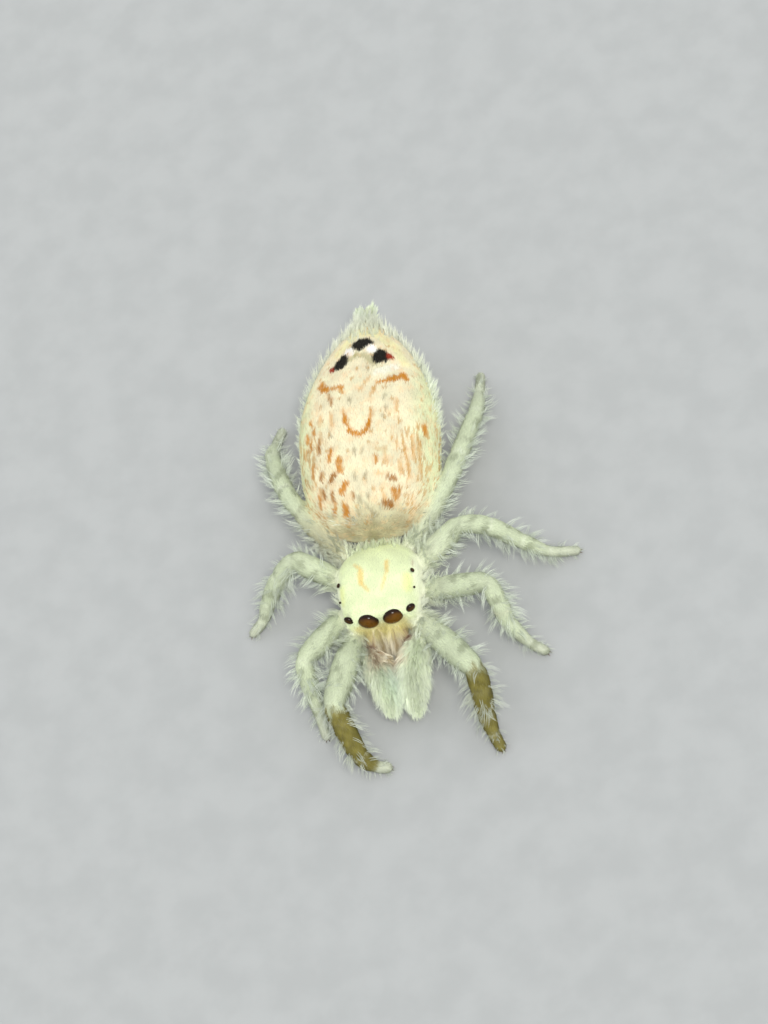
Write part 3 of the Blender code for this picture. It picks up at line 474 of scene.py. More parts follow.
# Coats: where it grows, tuft, tufts for each square millimetre, size, spreads and random seed
Coat = namedtuple("Coat", "name where tuft per_square size size_spread turn tilt seed finish")
COATS = (
    Coat("abdomen_coat_left", "abdomen_left", "velvet", 2750, 1.0, 0.25, 0.25, 0.05, 11, "abdomen_fur"),
    Coat("abdomen_coat_right", "abdomen_right", "velvet", 2750, 1.0, 0.25, 0.25, 0.05, 12, "abdomen_fur"),
    Coat("abdomen_fringe", "fringe", "fringe", 520, 1.0, 0.45, 0.60, 0.26, 13, "fringe"),
    Coat("head_coat", "head", "velvet", 4200, 0.70, 0.25, 0.35, 0.06, 14, "head_fur"),
    Coat("face_hair", "face", "face", 1400, 1.0, 0.30, 0.45, 0.15, 15, "head_fur"),
    Coat("beard", "beard", "beard", 1900, 1.0, 0.30, 0.20, 0.10, 21, "beard"),
    Coat("collar", "collar", "fringe", 560, 1.0, 0.35, 0.60, 0.22, 22, "collar"),
    Coat("leg_coat_left", "legs_left", "velvet", 2300, 0.75, 0.25, 0.30, 0.06, 16, "leg_fur"),
    Coat("leg_coat_right", "legs_right", "velvet", 2300, 0.75, 0.25, 0.30, 0.06, 17, "leg_fur"),
    Coat("leg_hair_left", "leg_hair_left", "leg", 150, 1.0, 0.50, 0.90, 0.34, 18, "leg_hair"),
    Coat("leg_hair_right", "leg_hair_right", "leg", 150, 1.0, 0.50, 0.90, 0.34, 19, "leg_hair"),
    Coat("palp_plumes", "palps", "plume", 1400, 1.0, 0.25, 0.40, 0.20, 20, "white_brush"),
)
# Finish of each coat: material, its slot, painted marks or none, shade from tuft to tuft, light tips, paling
Finish = namedtuple("Finish", "name slot mottled shade_amount tip_light pale")
FINISHES = {
    "abdomen_fur": Finish("abdomen_fur", "abdomen_fur", True, 0.05, 0.04, 0.0),
    "fringe": Finish("fringe_hair", "abdomen_fur", False, 0.12, 0.20, 0.70),
    "head_fur": Finish("head_fur", "head_fur", False, 0.05, 0.06, 0.0),
    "beard": Finish("beard_hair", "head_fur", False, 0.10, 0.15, 0.0),
    "collar": Finish("collar_hair", "head_fur", False, 0.14, 0.20, 0.40),
    "leg_fur": Finish("leg_fur", "pale_leg_fur", False, 0.07, 0.12, 0.0),
    "leg_hair": Finish("leg_hair", "pale_leg_fur", False, 0.12, 0.25, 0.70),
    "white_brush": Finish("white_brush", "white_brush", False, 0.10, 0.25, 0.0),
}
SKIN_FIELDS = ("tuft_number", "lie", "short_size", "long_size", "grain", "on_abdomen")
TUFT_PATCH = 0.003         # size of one tuft's patch on the coat's texture map
MAP_AROUND = (0.02, 0.96)  # start and size of the used part of a map's strip, round a part and along it
MAP_ALONG = (0.01, 0.98)
FLOOR_CLEAR = 0.012        # height under which a tuft bends along the floor, and how softly
FLOOR_SOFT = 0.06
SEED = 5
TINY = 1e-9
FAR = 1e9


def smooth_values(points, places):
    """Values at many places of a smooth curve through (place, value) pairs in rising order."""
    xs = np.array([point[0] for point in points], dtype=float)
    ys = np.array([point[1] for point in points], dtype=float)
    places = np.clip(places, xs[0], xs[-1])
    slopes = np.gradient(ys, xs)
    index = np.clip(np.searchsorted(xs, places, side="right") - 1, 0, len(xs) - 2)
    width = xs[index + 1] - xs[index]
    t = (places - xs[index]) / width
    return (
        (2 * t**3 - 3 * t**2 + 1) * ys[index]
        + (t**3 - 2 * t**2 + t) * width * slopes[index]
        + (3 * t**2 - 2 * t**3) * ys[index + 1]
        + (t**3 - t**2) * width * slopes[index + 1]
    )


def smooth_step(low, high, values):
    """0 below low, 1 above high, smooth between; low may be the larger one."""
    t = np.clip((values - low) / (high - low), 0.0, 1.0)
    return t * t * (3 - 2 * t)


def fade(edge, values):
    """How far an effect has come at each value: from 0 to 1, or to the amount in its row of EDGES."""
    low, high, *amount = EDGES[edge]
    return math.prod(amount) * smooth_step(low, high, values)


def prosoma_frame():
    """Places the head's own frame in the spider's frame."""
    turn = Matrix.Rotation(PROSOMA_TURN, 4, "Z") @ Matrix.Rotation(PROSOMA_PITCH, 4, "X")
    return Matrix.Translation(PROSOMA_PLACE) @ turn


def transformed(matrix, places, vectors=False):
    """Rows of places or directions moved by a matrix."""
    values = np.array(matrix)
    moved = places @ values[:3, :3].T
    return moved if vectors else moved + values[:3, 3]


# Forms

def loft(rings, start=None, end=None):
    """Vertices and faces of a closed form through rings of equal count."""
    verts = [tuple(point) for ring in rings for point in ring]
    sides = len(rings[0])
    faces = []
    for r in range(len(rings) - 1):
        low, high = r * sides, (r + 1) * sides
        for i in range(sides):
            j = (i + 1) % sides
            faces.append((low + i, low + j, high + j, high + i))
    last = (len(rings) - 1) * sides
    for first, point in ((0, start), (last, end)):
        if point is None:
            faces.append(tuple(range(first, first + sides)))
            continue
        verts.append(tuple(point))
        faces.extend((first + i, first + (i + 1) % sides, len(verts) - 1) for i in range(sides))
    return verts, faces


def mesh_from(name, forms):
    """One mesh of several closed forms, faces outwards."""
    verts, faces = [], []
    for form_verts, form_faces in forms:
        base = len(verts)
        verts.extend(form_verts)
        faces.extend(tuple(base + i for i in face) for face in form_faces)
    mesh = bpy.data.meshes.new(name)
    mesh.from_pydata(verts, [], faces)
    shape = bmesh.new()
    shape.from_mesh(mesh)
    bmesh.ops.recalc_face_normals(shape, faces=shape.faces)
    shape.to_mesh(mesh)
    shape.free()
    return mesh


def new_object(name, data):
    """Object in the scene from a mesh, light or camera."""
    piece = bpy.data.objects.new(name, data)
    bpy.context.scene.collection.objects.link(piece)
    return piece


def plain_piece(helper, name):
    """Turns a helper with modifiers into a plain piece of that name."""
    graph = bpy.context.evaluated_depsgraph_get()
    mesh = bpy.data.meshes.new_from_object(helper.evaluated_get(graph))
    bpy.data.objects.remove(helper)
    mesh.name = name
    return new_object(name, mesh)


def carapace_at(ys):
    """Half width, top, bottom and boxiness of the carapace at places along it."""
    stations = [(s.y, s[1:]) for s in CARAPACE_STATIONS]
    return [smooth_values([(y, row[k]) for y, row in stations], ys) for k in range(4)]


def carapace_form():
    """Head and thorax, lying inside its coat by the coat's depth."""
    ys = np.linspace(CARAPACE_STATIONS[0].y + HEAD_COAT_DEPTH, CARAPACE_STATIONS[-1].y, CARAPACE_RINGS)
    half_width, top, bottom, box = carapace_at(ys)
    angles = np.linspace(0, 2 * math.pi, CARAPACE_SIDES, endpoint=False)
    across, up = np.cos(angles), np.sin(angles)
    frame = prosoma_frame()
    rings = []
    for k, y in enumerate(ys):
        power = np.where(up > 0, 2 / box[k], 2 / BELLY_BOX)
        height = np.maximum(np.where(up > 0, top[k], -bottom[k]) - HEAD_COAT_DEPTH, LEAST_HEIGHT)
        x = np.sign(across) * np.abs(across) ** power * (half_width[k] - HEAD_COAT_DEPTH)
        z = np.sign(up) * np.abs(up) ** power * height
        ring = np.stack([x, np.full_like(x, y), z], axis=1)
        rings.append(transformed(frame, ring))
    return loft(rings)


def abdomen_middle(shares):
    """Height of the abdomen's middle line, which drops in its rear half."""
    return ABDOMEN_MIDDLE_Z - ABDOMEN_REAR_DROP * np.maximum(0.0, shares - 0.5) * 2


def abdomen_places(shares, angles, inset=0.0):
    """Places on the abdomen at shares of its length and angles round it."""
    size = np.maximum(smooth_values(ABDOMEN_SHAPE, shares), LEAST_HEIGHT)
    middle = abdomen_middle(shares)
    x = ABDOMEN_MIDDLE_X + np.cos(angles) * np.maximum(ABDOMEN_HALF_WIDTH * size - inset, LEAST_REACH)
    y = ABDOMEN_FRONT + inset + shares * (ABDOMEN_LENGTH - 2 * inset)
    z = middle + np.sin(angles) * np.maximum(ABDOMEN_HALF_HEIGHT * size - inset, LEAST_REACH)
    return np.stack([x, y, z], axis=-1)


def abdomen_form():
    """Abdomen, lying inside its coat by the coat's depth."""
    shares = 0.5 - 0.5 * np.cos(np.linspace(ABDOMEN_END, math.pi - ABDOMEN_END, ABDOMEN_RINGS))
    angles = np.linspace(0, 2 * math.pi, ABDOMEN_SIDES, endpoint=False)
    rings = [abdomen_places(np.full_like(angles, s), angles, ABDOMEN_COAT_DEPTH) for s in shares]
    return loft(rings)


Tube = namedtuple("Tube", "region points radii sides ups lengths")


def smooth_path(points, steps):
    """Rounded path through points, as rows, with the control number of each row."""
    points = np.array(points, dtype=float)
    numbers = np.linspace(0, len(points) - 1, (len(points) - 1) * steps + 1)
    columns = [smooth_values(list(enumerate(points[:, axis])), numbers) for axis in range(3)]
    return np.stack(columns, axis=1), numbers


def make_tube(region, points, radii, steps=6, creases=()):
    """Tube along a rounded path, with a frame at each ring and a crease at each joint."""
    path, numbers = smooth_path(points, steps)
    widths = smooth_values(list(enumerate(radii)), numbers)
    steps_along = np.linalg.norm(np.diff(path, axis=0), axis=1)
    lengths = np.concatenate([[0.0], np.cumsum(steps_along)])
    for crease in creases:
        centre = lengths[crease * steps]
        widths = widths * (1 - CREASE_DEPTH * np.exp(-(((lengths - centre) / CREASE_WIDTH) ** 2)))
    along = np.gradient(path, axis=0)
    along /= np.linalg.norm(along, axis=1, keepdims=True)
    sides = np.cross(along, (0.0, 0.0, 1.0))
    sides /= np.linalg.norm(sides, axis=1, keepdims=True)
    return Tube(region, path, widths, sides, np.cross(sides, along), lengths)


def tube_form(tube):
    """Closed form of a tube with rounded ends."""
    angles = np.linspace(0, 2 * math.pi, TUBE_SIDES, endpoint=False)[:, None]
    rings = []
    for place, radius, side, up in zip(tube.points, tube.radii, tube.sides, tube.ups):
        rings.append(place + radius * (np.cos(angles) * side + np.sin(angles) * up))
    first = tube.points[0] - (tube.points[1] - tube.points[0]) * TUBE_START
    last_step = tube.points[-1] - tube.points[-2]
    last = tube.points[-1] + last_step / np.linalg.norm(last_step) * tube.radii[-1] * TUBE_END
    return loft(rings, first, last)


def leg_tube(leg):
    """Flesh of one leg from its root to the claws."""
    sign = 1 if leg.name.startswith("left") else -1
    local = LEG_ROOTS[leg.root]
    root = prosoma_frame() @ Vector((sign * local.x, local.y, local.z))
    knee = Vector(leg.knee)
    lift = Vector((0, 0, FEMUR_ARCH))
    thigh = [root.lerp(knee, share) + lift * arch for share, arch in THIGH]
    points = [root, *thigh, knee, leg.patella, leg.shin, leg.ankle, leg.tip]
    radii = [radius * leg.girth for radius in LEG_RADII]
    return make_tube(f"leg_{leg.name}", points, radii, LEG_STEPS, JOINT_CREASES)


def flesh_tubes():
    """Every part of the body that is a tube: legs, palps, jaws, waist and spinnerets."""
    tubes = [leg_tube(leg) for leg in LEGS]
    tubes += [make_tube(f"palp_{side}", path, PALP_RADII) for side, path in PALP_PATHS.items()]
    frame = prosoma_frame()
    count = len(CHELICERA_RADII) - 1
    drops = [k / count * (CHELICERA_LENGTH + JAW_REACH) for k in range(count + 1)]
    for side, sign in (("left", 1), ("right", -1)):
        top = Vector((sign * CHELICERA_PLACE.x, CHELICERA_PLACE.y, CHELICERA_PLACE.z + JAW_LIFT))
        path = [frame @ Vector((top.x, top.y - JAW_LEAN * drop, top.z - drop)) for drop in drops]
        tubes.append(make_tube(f"jaw_{side}", path, CHELICERA_RADII))
    start = frame @ WAIST_START
    tubes.append(make_tube("waist", [start, start.lerp(WAIST_END, 0.5), WAIST_END], (PEDICEL_RADIUS,) * 3))
    for k, tip in enumerate(SPINNERET_TIPS):
        path = [SPINNERET_ROOT, SPINNERET_ROOT.lerp(tip, SPINNERET_BEND), tip]
        tubes.append(make_tube(f"spinneret_{k}", path, SPINNERET_RADII))
    return tubes


def build_skin(tubes):
    """One closed skin over every part, still in millimetres."""
    forms = [carapace_form(), abdomen_form(), *(tube_form(tube) for tube in tubes)]
    rough = new_object("rough_skin", mesh_from("rough_skin", forms))
    remesh = rough.modifiers.new("one_surface", "REMESH")
    remesh.mode = "VOXEL"
    remesh.voxel_size = SKIN_VOXEL
    soften = rough.modifiers.new("soften", "SMOOTH")
    soften.factor = SKIN_SOFTNESS
    soften.iterations = SKIN_SMOOTHING
    skin = plain_piece(rough, "skin")
    skin.data.shade_smooth()
    return skin


# Where a place is on the body, and how the coat lies there

def abdomen_field(places):
    """Distance from the abdomen, share of its length, angle round it, lie of the coat and grain."""
    shares = np.clip((places[:, 1] - ABDOMEN_FRONT) / ABDOMEN_LENGTH, 0.001, 0.999)
    size = np.maximum(smooth_values(ABDOMEN_SHAPE, shares), 2 * LEAST_HEIGHT)
    middle = abdomen_middle(shares)
    x = (places[:, 0] - ABDOMEN_MIDDLE_X) / (ABDOMEN_HALF_WIDTH * size)
    z = (places[:, 2] - middle) / (ABDOMEN_HALF_HEIGHT * size)
    angles = np.arctan2(z, x)
    reach = np.hypot(x, z)
    on_it = abdomen_places(shares, angles)
    inside = (reach < 1) & (np.abs(places[:, 1] - ABDOMEN_FRONT - ABDOMEN_LENGTH / 2) < ABDOMEN_LENGTH / 2)
    distance = np.linalg.norm(places - on_it, axis=1) * np.where(inside, -1, 1)
    lie = abdomen_places(np.minimum(shares + 0.01, 0.9999), angles) - abdomen_places(shares - 0.0009, angles)
    return distance, shares, angles, unit(lie), places[:, [0, 2, 1]]


def unit(vectors):
    """Rows scaled to length one."""
    return vectors / np.maximum(np.linalg.norm(vectors, axis=1, keepdims=True), TINY)


def head_field(places):
    """Distance from the carapace, share, angle, lie and grain there, and places in the head's frame."""
    inverse = prosoma_frame().inverted()
    local = transformed(inverse, places)
    ys = np.clip(local[:, 1], CARAPACE_STATIONS[0].y, CARAPACE_STATIONS[-1].y)
    half_width, top, bottom, box = carapace_at(ys)
    above = local[:, 2] > 0
    power = np.where(above, box, BELLY_BOX)
    height = np.maximum(np.where(above, top, -bottom), 2 * LEAST_HEIGHT)
    x, z = local[:, 0] / half_width, local[:, 2] / height
    reach = (np.abs(x) ** power + np.abs(z) ** power) ** (1 / power)
    distance = (reach - 1) * np.minimum(half_width, height)
    distance = np.maximum(distance, np.abs(local[:, 1] - ys))
    face = fade("face_lie", local[:, 1])[:, None]
    lie = (1 - face) * np.array(BACK_LIE) + face * np.array(FACE_LIE)
    lie = lie + LIE_OUTWARD * np.stack([local[:, 0], np.zeros(len(ys)), np.zeros(len(ys))], axis=1)
    shares = (ys - CARAPACE_STATIONS[0].y) / (CARAPACE_STATIONS[-1].y - CARAPACE_STATIONS[0].y)
    lie = unit(transformed(prosoma_frame(), lie, True))
    return (distance, shares, np.arctan2(z, x), lie, local[:, [0, 2, 1]]), local


def tube_field(tube, places):
    """Distance from a tube, share of its length, angle round it, its direction and place across it."""
    best = np.full(len(places), FAR)
    share, angle = np.zeros(len(places)), np.zeros(len(places))
    lie, grain = np.zeros((len(places), 3)), np.zeros((len(places), 3))
    for k in range(len(tube.points) - 1):
        start, end = tube.points[k], tube.points[k + 1]
        step = end - start
        t = np.clip((places - start) @ step / (step @ step), 0.0, 1.0)
        away = places - (start + t[:, None] * step)
        radius = tube.radii[k] + (tube.radii[k + 1] - tube.radii[k]) * t
        distance = np.linalg.norm(away, axis=1) - radius
        near = distance < best
        best[near] = distance[near]
        along = tube.lengths[k] + t * (tube.lengths[k + 1] - tube.lengths[k])
        across, up = away @ tube.sides[k], away @ tube.ups[k]
        share[near] = (along / tube.lengths[-1])[near]
        angle[near] = np.arctan2(up, across)[near]
        lie[near] = step / np.linalg.norm(step)
        grain[near] = np.stack([across, up, along], axis=1)[near]
    return best, share, angle, lie, grain


def read_body(places, tubes):
    """For each place: the nearest part, its share and angle there, the lie and the grain's place."""
    head, local = head_field(places)
    fields = [abdomen_field(places), head, *(tube_field(tube, places) for tube in tubes)]
    names = ["abdomen", "head", *(tube.region for tube in tubes)]
    distances, *columns = (np.array(column) for column in zip(*fields))
    nearest = distances.argmin(axis=0)
    rows = np.arange(len(places))
    body = {name: column[nearest, rows] for name, column in zip(("share", "angle", "lie", "grain"), columns)}
    body.update(names=names, part=np.array(names)[nearest], nearest=nearest, distances=distances, local=local)
    return body


# Colours and markings

def stroke_mask(places, stroke):
    """How far each place is inside a round-ended stroke, from 0 to 1."""
    start, end = np.array(stroke.start, dtype=float), np.array(stroke.end, dtype=float)
    edge = SOFT_INK_EDGES.get(stroke.ink, INK_EDGE)
    step = end - start
    t = np.clip((places - start) @ step / (step @ step), 0.0, 1.0)
    away = np.linalg.norm(places - (start + t[:, None] * step), axis=1)
    return smooth_step(stroke.half_width + edge, stroke.half_width - edge, away)


def patch_mask(places, corners):
    """How far each place is inside a closed outline, from 0 to 1."""
    corners = np.array(corners)
    nearest = np.full(len(places), FAR)
    inside = np.zeros(len(places), dtype=bool)
    for start, end in zip(corners, np.roll(corners, -1, axis=0)):
        step = end - start
        t = np.clip((places - start) @ step / (step @ step), 0.0, 1.0)
        nearest = np.minimum(nearest, np.linalg.norm(places - (start + t[:, None] * step), axis=1))
        crosses = (start[1] > places[:, 1]) != (end[1] > places[:, 1])
        rise = step[1] if abs(step[1]) > TINY else TINY
        inside ^= crosses & (places[:, 0] < start[0] + (places[:, 1] - start[1]) * step[0] / rise)
    return smooth_step(-INK_EDGE, INK_EDGE, np.where(inside, nearest, -nearest))


def lay_ink(colours, ink, mask):
    """Colours with an ink laid over them where the mask says."""
    return blend(colours, INKS[ink], np.clip(mask * INK_STRENGTH.get(ink, 1.0), 0, 1))


def wobble(places, wave):
    """Smooth made-up noise from a few waves in seeded directions, as its row of WAVES says."""
    size, seed, *amount = WAVES[wave]
    draw = random.Random(seed)
    total = np.zeros(len(places))
    for _ in range(WAVE_COUNT):
        direction = np.array([draw.gauss(0, 1) for _ in range(3)])
        direction *= 2 * math.pi / size / np.linalg.norm(direction) * draw.uniform(*WAVE_SIZES)
        total += np.sin(places @ direction + draw.uniform(0, 2 * math.pi))
    return math.prod(amount) * (total / WAVE_LEVEL)


def blend(first, second, share):
    """First colours run into the second ones, by a share for each place."""
    share = np.reshape(share, (-1, 1))
    return np.array(first) * (1 - share) + np.array(second) * share


def abdomen_colours(places):
    """Cream back, paler green flanks, olive shade in front and the painted marks."""
    x, y, z = places.T
    colours = blend(CREAM, FLANK, fade("flank", np.abs(x - ABDOMEN_MIDDLE_X)))
    colours = blend(colours, BELLY, fade("belly", z))
    shade = fade("olive_front", y + wobble(places, "olive_edge")) * fade("olive_height", z)
    colours = lay_ink(colours, "olive", shade * OLIVE_SHADE)
    edge = fade("umber_front", y) * fade("umber_height", z) * (UMBER_LEVEL + wobble(places, "umber_patches"))
    colours = lay_ink(colours, "umber", edge * UMBER_SHADE)
    flat = places[:, :2] + np.stack([wobble(places, "ink_across"), wobble(places, "ink_along")], axis=1)
    top = z > MARKS_FROM_HEIGHT
    thin = INK_LEVEL + wobble(places, "ink_depth")
    for ink, *rows in ABDOMEN_MARKS:
        for row in rows:
            stroke = Stroke(ink, row[:2], row[2:4], row[4])
            colours = lay_ink(colours, ink, stroke_mask(flat, stroke) * top * thin)
    for patch in ABDOMEN_PATCHES:
        colours = lay_ink(colours, patch.ink, patch_mask(flat, patch.corners) * top)
    return colours


def head_colours(local):
    """Pale yellow-green carapace with painted light towards its rear, paler, duller cheeks partly lifted by
    painted light, golden face and the jaws' colours below it.
    """
    x, y, z = local.T
    # painted light: the carapace is made lighter towards its rear
    top = np.array(HEAD) * (1 + HEAD_REAR_PAINTED_LIGHT * fade("head_rear", y))[:, None]
    # painted light: the cheeks take a colour made paler than their own
    colours = blend(top, CHEEK_WITH_PAINTED_LIGHT, np.maximum(fade("head_rim", z), fade("cheek", np.abs(x))))
    front = fade("face_side", np.abs(x + FACE_SHIFT)) * fade("face_front", y) * fade("face_height", z)
    colours = blend(colours, FACE, front)
    colours = blend(colours, blend(NAPE, PALE_NAPE, fade("nape_side", x)), fade("nape", y))
    lower = fade("jaw_front", y) * fade("jaw_height", z)
    colours = blend(colours, jaw_spots(jaw_colours(local), local), lower)
    for stroke in HEAD_STROKES:
        colours = lay_ink(colours, stroke.ink, stroke_mask(local, stroke))
    return colours


def leg_colours(leg, tube, share, angle, places):
    """Pale legs with painted light on top and painted shade underneath, lighter at the joints; the front pair
    is olive from the knee on, with painted light along its top.
    """
    # painted light: each leg is lighter along its top and darker underneath
    lit_crest = fade("lit_crest", np.sin(angle))
    level = LEG_PAINTED_LIGHT[0] + LEG_PAINTED_LIGHT[1] * lit_crest
    colours = blend(PALE_LEG, PALE_FOOT, fade("foot", share)) * level[:, None]
    smudge = wobble(places, "smudge") + wobble(places, "fine_smudge")
    colours = blend(colours, LEG_SMUDGE, fade("smudge", smudge))
    if leg.name.startswith("left"):
        colours = blend(colours, PALE_NAPE, fade("pale_coxa", share))
    # the right hind leg's root: warm brown with painted shade
    if leg.name == "right_4":
        colours = blend(colours, WARM_COXA_AND_SHADE, fade("warm_coxa_and_shade", share))
    if leg.root == 1:
        olive = fade("olive_leg", share + wobble(places, "olive_leg_edge"))
        if leg.name.startswith("right"):
            olive = olive * fade("olive_leg_end", share)
        level = (OLIVE_PAINTED_LIGHT[0] + OLIVE_PAINTED_LIGHT[1] * lit_crest) * (1 + wobble(places, "olive_leg"))
        colours = blend(colours, np.array(OLIVE_LEG) * level[:, None], olive)
    along = share * tube.lengths[-1]
    for joint in JOINT_CREASES:
        away = (along - tube.lengths[joint * LEG_STEPS]) / JOINT_LIGHT_WIDTH
        colours = blend(colours, JOINT_LIGHT, JOINT_LIGHT_AMOUNT * np.exp(-(away**2)) * lit_crest)
    return colours


def jaw_colours(local):
    """Golden below the eyes, then stripes down the jaws, olive-brown in the middle and rose outside."""
    across = local[:, 0] + wobble(local, "jaw_bend")
    waves = np.sin(across * 2 * math.pi / JAW_STRIPE_PITCH + JAW_STRIPE_SHIFT)
    waves = waves + wobble(local * (1, 0.3, 0.3), "jaw_breaks")
    side = np.abs(local[:, 0])
    stripe = blend(JAW_MIDDLE_STRIPE, JAW_STRIPE, fade("rose_stripes", side))
    colours = blend(JAW, stripe, fade("stripe", waves))
    patches = fade("face_patches", wobble(local * (1, 1, 0.4), "face_patches"))
    face = blend(FACE, JAW_MIDDLE_STRIPE, patches)
    return blend(colours, face, fade("jaw_gold", local[:, 1]) * fade("jaw_gold_side", side))


def jaw_spots(colours, local):
    """Colours with the rose-brown spot at each side of the jaws."""
    away = np.hypot(np.abs(local[:, 0]) - JAW_SPOT[0], local[:, 1] - JAW_SPOT[1]) / JAW_SPOT[2]
    return blend(colours, JAW_SPOT_COLOUR, JAW_SPOT_AMOUNT * np.exp(-(away**4)))


def palp_colours(local):
    """White brushes, with painted blue-green shade between them, and the jaws' stripes at their inner root.
    """
    middle, half_width, strength = PALP_SHADE_AT
    inner = strength * np.exp(-(((local[:, 0] - middle) / half_width) ** 2)) * fade("palp_shade", local[:, 1])
    striped = fade("palp_stripes", local[:, 1]) * fade("palp_stripes_side", np.abs(local[:, 0]))
    return jaw_spots(blend(blend(WHITE_BRUSH, PALP_SHADE, inner), jaw_colours(local), striped), local)


def body_colours(places, body, tubes):
    """Base colour with markings at every place, each part's colour running a little into the next."""
    by_part = {"abdomen": abdomen_colours(places), "head": head_colours(body["local"])}
    by_leg = {f"leg_{leg.name}": leg for leg in LEGS}
    by_tube = {tube.region: tube for tube in tubes}
    palps = palp_colours(body["local"])
    total = np.zeros((len(places), 3))
    weights = np.zeros(len(places))
    for k, name in enumerate(body["names"]):
        if name in by_part:
            colours = by_part[name]
        elif name in by_leg:
            share = np.where(body["nearest"] == k, body["share"], 0.0)
            colours = leg_colours(by_leg[name], by_tube[name], share, body["angle"], places)
        elif name.startswith("palp"):
            colours = palps
        elif name.startswith("jaw"):
            colours = jaw_spots(jaw_colours(body["local"]), body["local"])
        else:
            colours = np.tile(CHEEK_WITH_PAINTED_LIGHT if name == "waist" else WHITE_BRUSH, (len(places), 1))
        gap = body["distances"][k] - body["distances"].min(axis=0)
        weight = np.exp(-((gap / SKIN_EDGE_BLEND) ** 2))
        total += colours * weight[:, None]
        weights += weight
    return total / weights[:, None]


def coat_weights(places, normals, body):
    """How thickly each coat grows at every place, from 0 to 1."""
    part, share, local = body["part"], body["share"], body["local"]
    up = normals[:, 2]
    is_abdomen, is_head, is_waist = (part == name for name in ("abdomen", "head", "waist"))
    is_leg, is_left, is_palp, is_jaw, is_spinneret = (
        np.char.startswith(part, start) for start in ("leg_", "leg_left", "palp", "jaw", "spinneret"))
    sideways = fade("fringe_side", np.abs(up)) * fade("fringe_start", share)
    rearward = fade("fringe_rear", share) * is_abdomen
    brow = fade("brow", share) * fade("brow_top", up)
    along = (sideways * FRINGE_SIDE_AMOUNT + rearward) * fade("fringe_front", share)
    fringe = is_abdomen * np.clip(along + brow, 0, 1)
    beside = HAIR_ON_TOP + fade("leg_side", up)
    hair = is_leg * fade("leg_hair_start", share) * np.maximum(beside, fade("foot_brush", share))
    outward = np.where(part == "palp_left", normals[:, 0], -normals[:, 0])
    halo = is_palp * fade("palp_outside", outward) * fade("palp_start", share)
    nape = is_head * fade("collar_nape", local[:, 1]) + is_waist
    rim = is_head * fade("collar_rim", local[:, 2]) * fade("collar_front", local[:, 1])
    eye_clear = np.ones(len(places))
    for eye in EYES:
        for sign in (1, -1):
            centre = np.array((sign * eye.centre.x, eye.centre.y - eye.forward, eye.centre.z))
            away = np.linalg.norm(local - centre, axis=1) - eye.half_width
            eye_clear *= smooth_step(*EYE_CLEARANCE, away)
    face = fade("face_hair", local[:, 1]) * fade("face_hair_height", local[:, 2])
    low_face = is_head * fade("beard", local[:, 1]) * fade("beard_height", local[:, 2])
    return {
        "abdomen_left": is_abdomen * (places[:, 0] >= ABDOMEN_MIDDLE_X),
        "abdomen_right": is_abdomen * (places[:, 0] < ABDOMEN_MIDDLE_X),
        "fringe": fringe,
        "head": (is_head + is_waist) * eye_clear,
        "face": is_head * face * eye_clear,
        "beard": (low_face + is_jaw * (BEARD_BEHIND + fade("jaw_ahead", normals[:, 1]))) * eye_clear,
        "legs_left": is_left,
        "legs_right": is_leg & ~is_left,
        "collar": np.clip(nape + (is_leg * fade("collar_coxa", share) + rim), 0, 1),
        "leg_hair_left": hair * is_left + halo * (part == "palp_left"),
        "leg_hair_right": hair * ~is_left + halo * (part == "palp_right"),
        "palps": is_palp * 1.0 + is_spinneret,
    }


def coat_sizes(normals, body):
    """Length of the short coat and of the long hair at every place, against their usual lengths."""
    part, share = body["part"], body["share"]
    is_leg = np.char.startswith(part, "leg_")
    short = np.where(is_leg, 1.0 - fade("short_foot", share), 1.0)
    long = np.where(is_leg, 1.0 - fade("slim_foot", share), 1.0)
    long = np.where(part == "abdomen", FRINGE_IN_FRONT + fade("long_fringe", share), long)
    inward = np.where(part == "palp_left", -normals[:, 0], normals[:, 0])
    bushy = PALP_ROOT_HAIR + fade("bushy_palp", share) - fade("palp_point", share)
    bushy = bushy + fade("palp_inside", inward) * fade("palp_middle", share)
    long = np.where(np.char.startswith(part, "palp"), bushy, long)
    return short, np.where(np.char.startswith(part, "spinneret"), SPINNERET_HAIR, long)


def store(mesh, name, kind, values):
    """Writes one value for each vertex."""
    attribute = mesh.attributes.new(name, kind, "POINT")
    field = {"FLOAT": "value", "FLOAT_VECTOR": "vector", "FLOAT_COLOR": "color"}[kind]
    attribute.data.foreach_set(field, np.ascontiguousarray(values, dtype=np.float32).ravel())


def read_values(items, field, width=1, kind=np.float32):
    """Values of one field of many items, as a list of numbers or as rows of a width."""
    values = np.zeros(len(items) * width, dtype=kind)
    items.foreach_get(field, values)
    return values.reshape(-1, width) if width > 1 else values


def read_vertices(mesh, field="co"):
    """Rows of vertex places or normals."""
    return read_values(mesh.vertices, field, 3).astype(float)


def with_alpha(colours):
    """Colours with a full fourth channel."""
    return np.concatenate([np.clip(colours, 0, 1), np.ones((len(colours), 1))], axis=1)


def dress_skin(skin, tubes):
    """Stores on the skin how the coat lies, how thick it is and the colours."""
    places, normals = read_vertices(skin.data), read_vertices(skin.data, "normal")
    body = read_body(places, tubes)
    flat = body["lie"] - normals * np.sum(body["lie"] * normals, axis=1, keepdims=True)
    short, long = coat_sizes(normals, body)
    for name, kind, values in (
        ("lie", "FLOAT_VECTOR", unit(flat + 1e-6)),
        ("short_size", "FLOAT", short),
        ("long_size", "FLOAT", long),
        ("grain", "FLOAT_VECTOR", body["grain"]),
        ("on_abdomen", "FLOAT", body["part"] == "abdomen"),
        ("tint", "FLOAT_COLOR", with_alpha(body_colours(places, body, tubes))),
        *((f"grows_{where}", "FLOAT", w) for where, w in coat_weights(places, normals, body).items()),
    ):
        store(skin.data, name, kind, values)


# Tufts

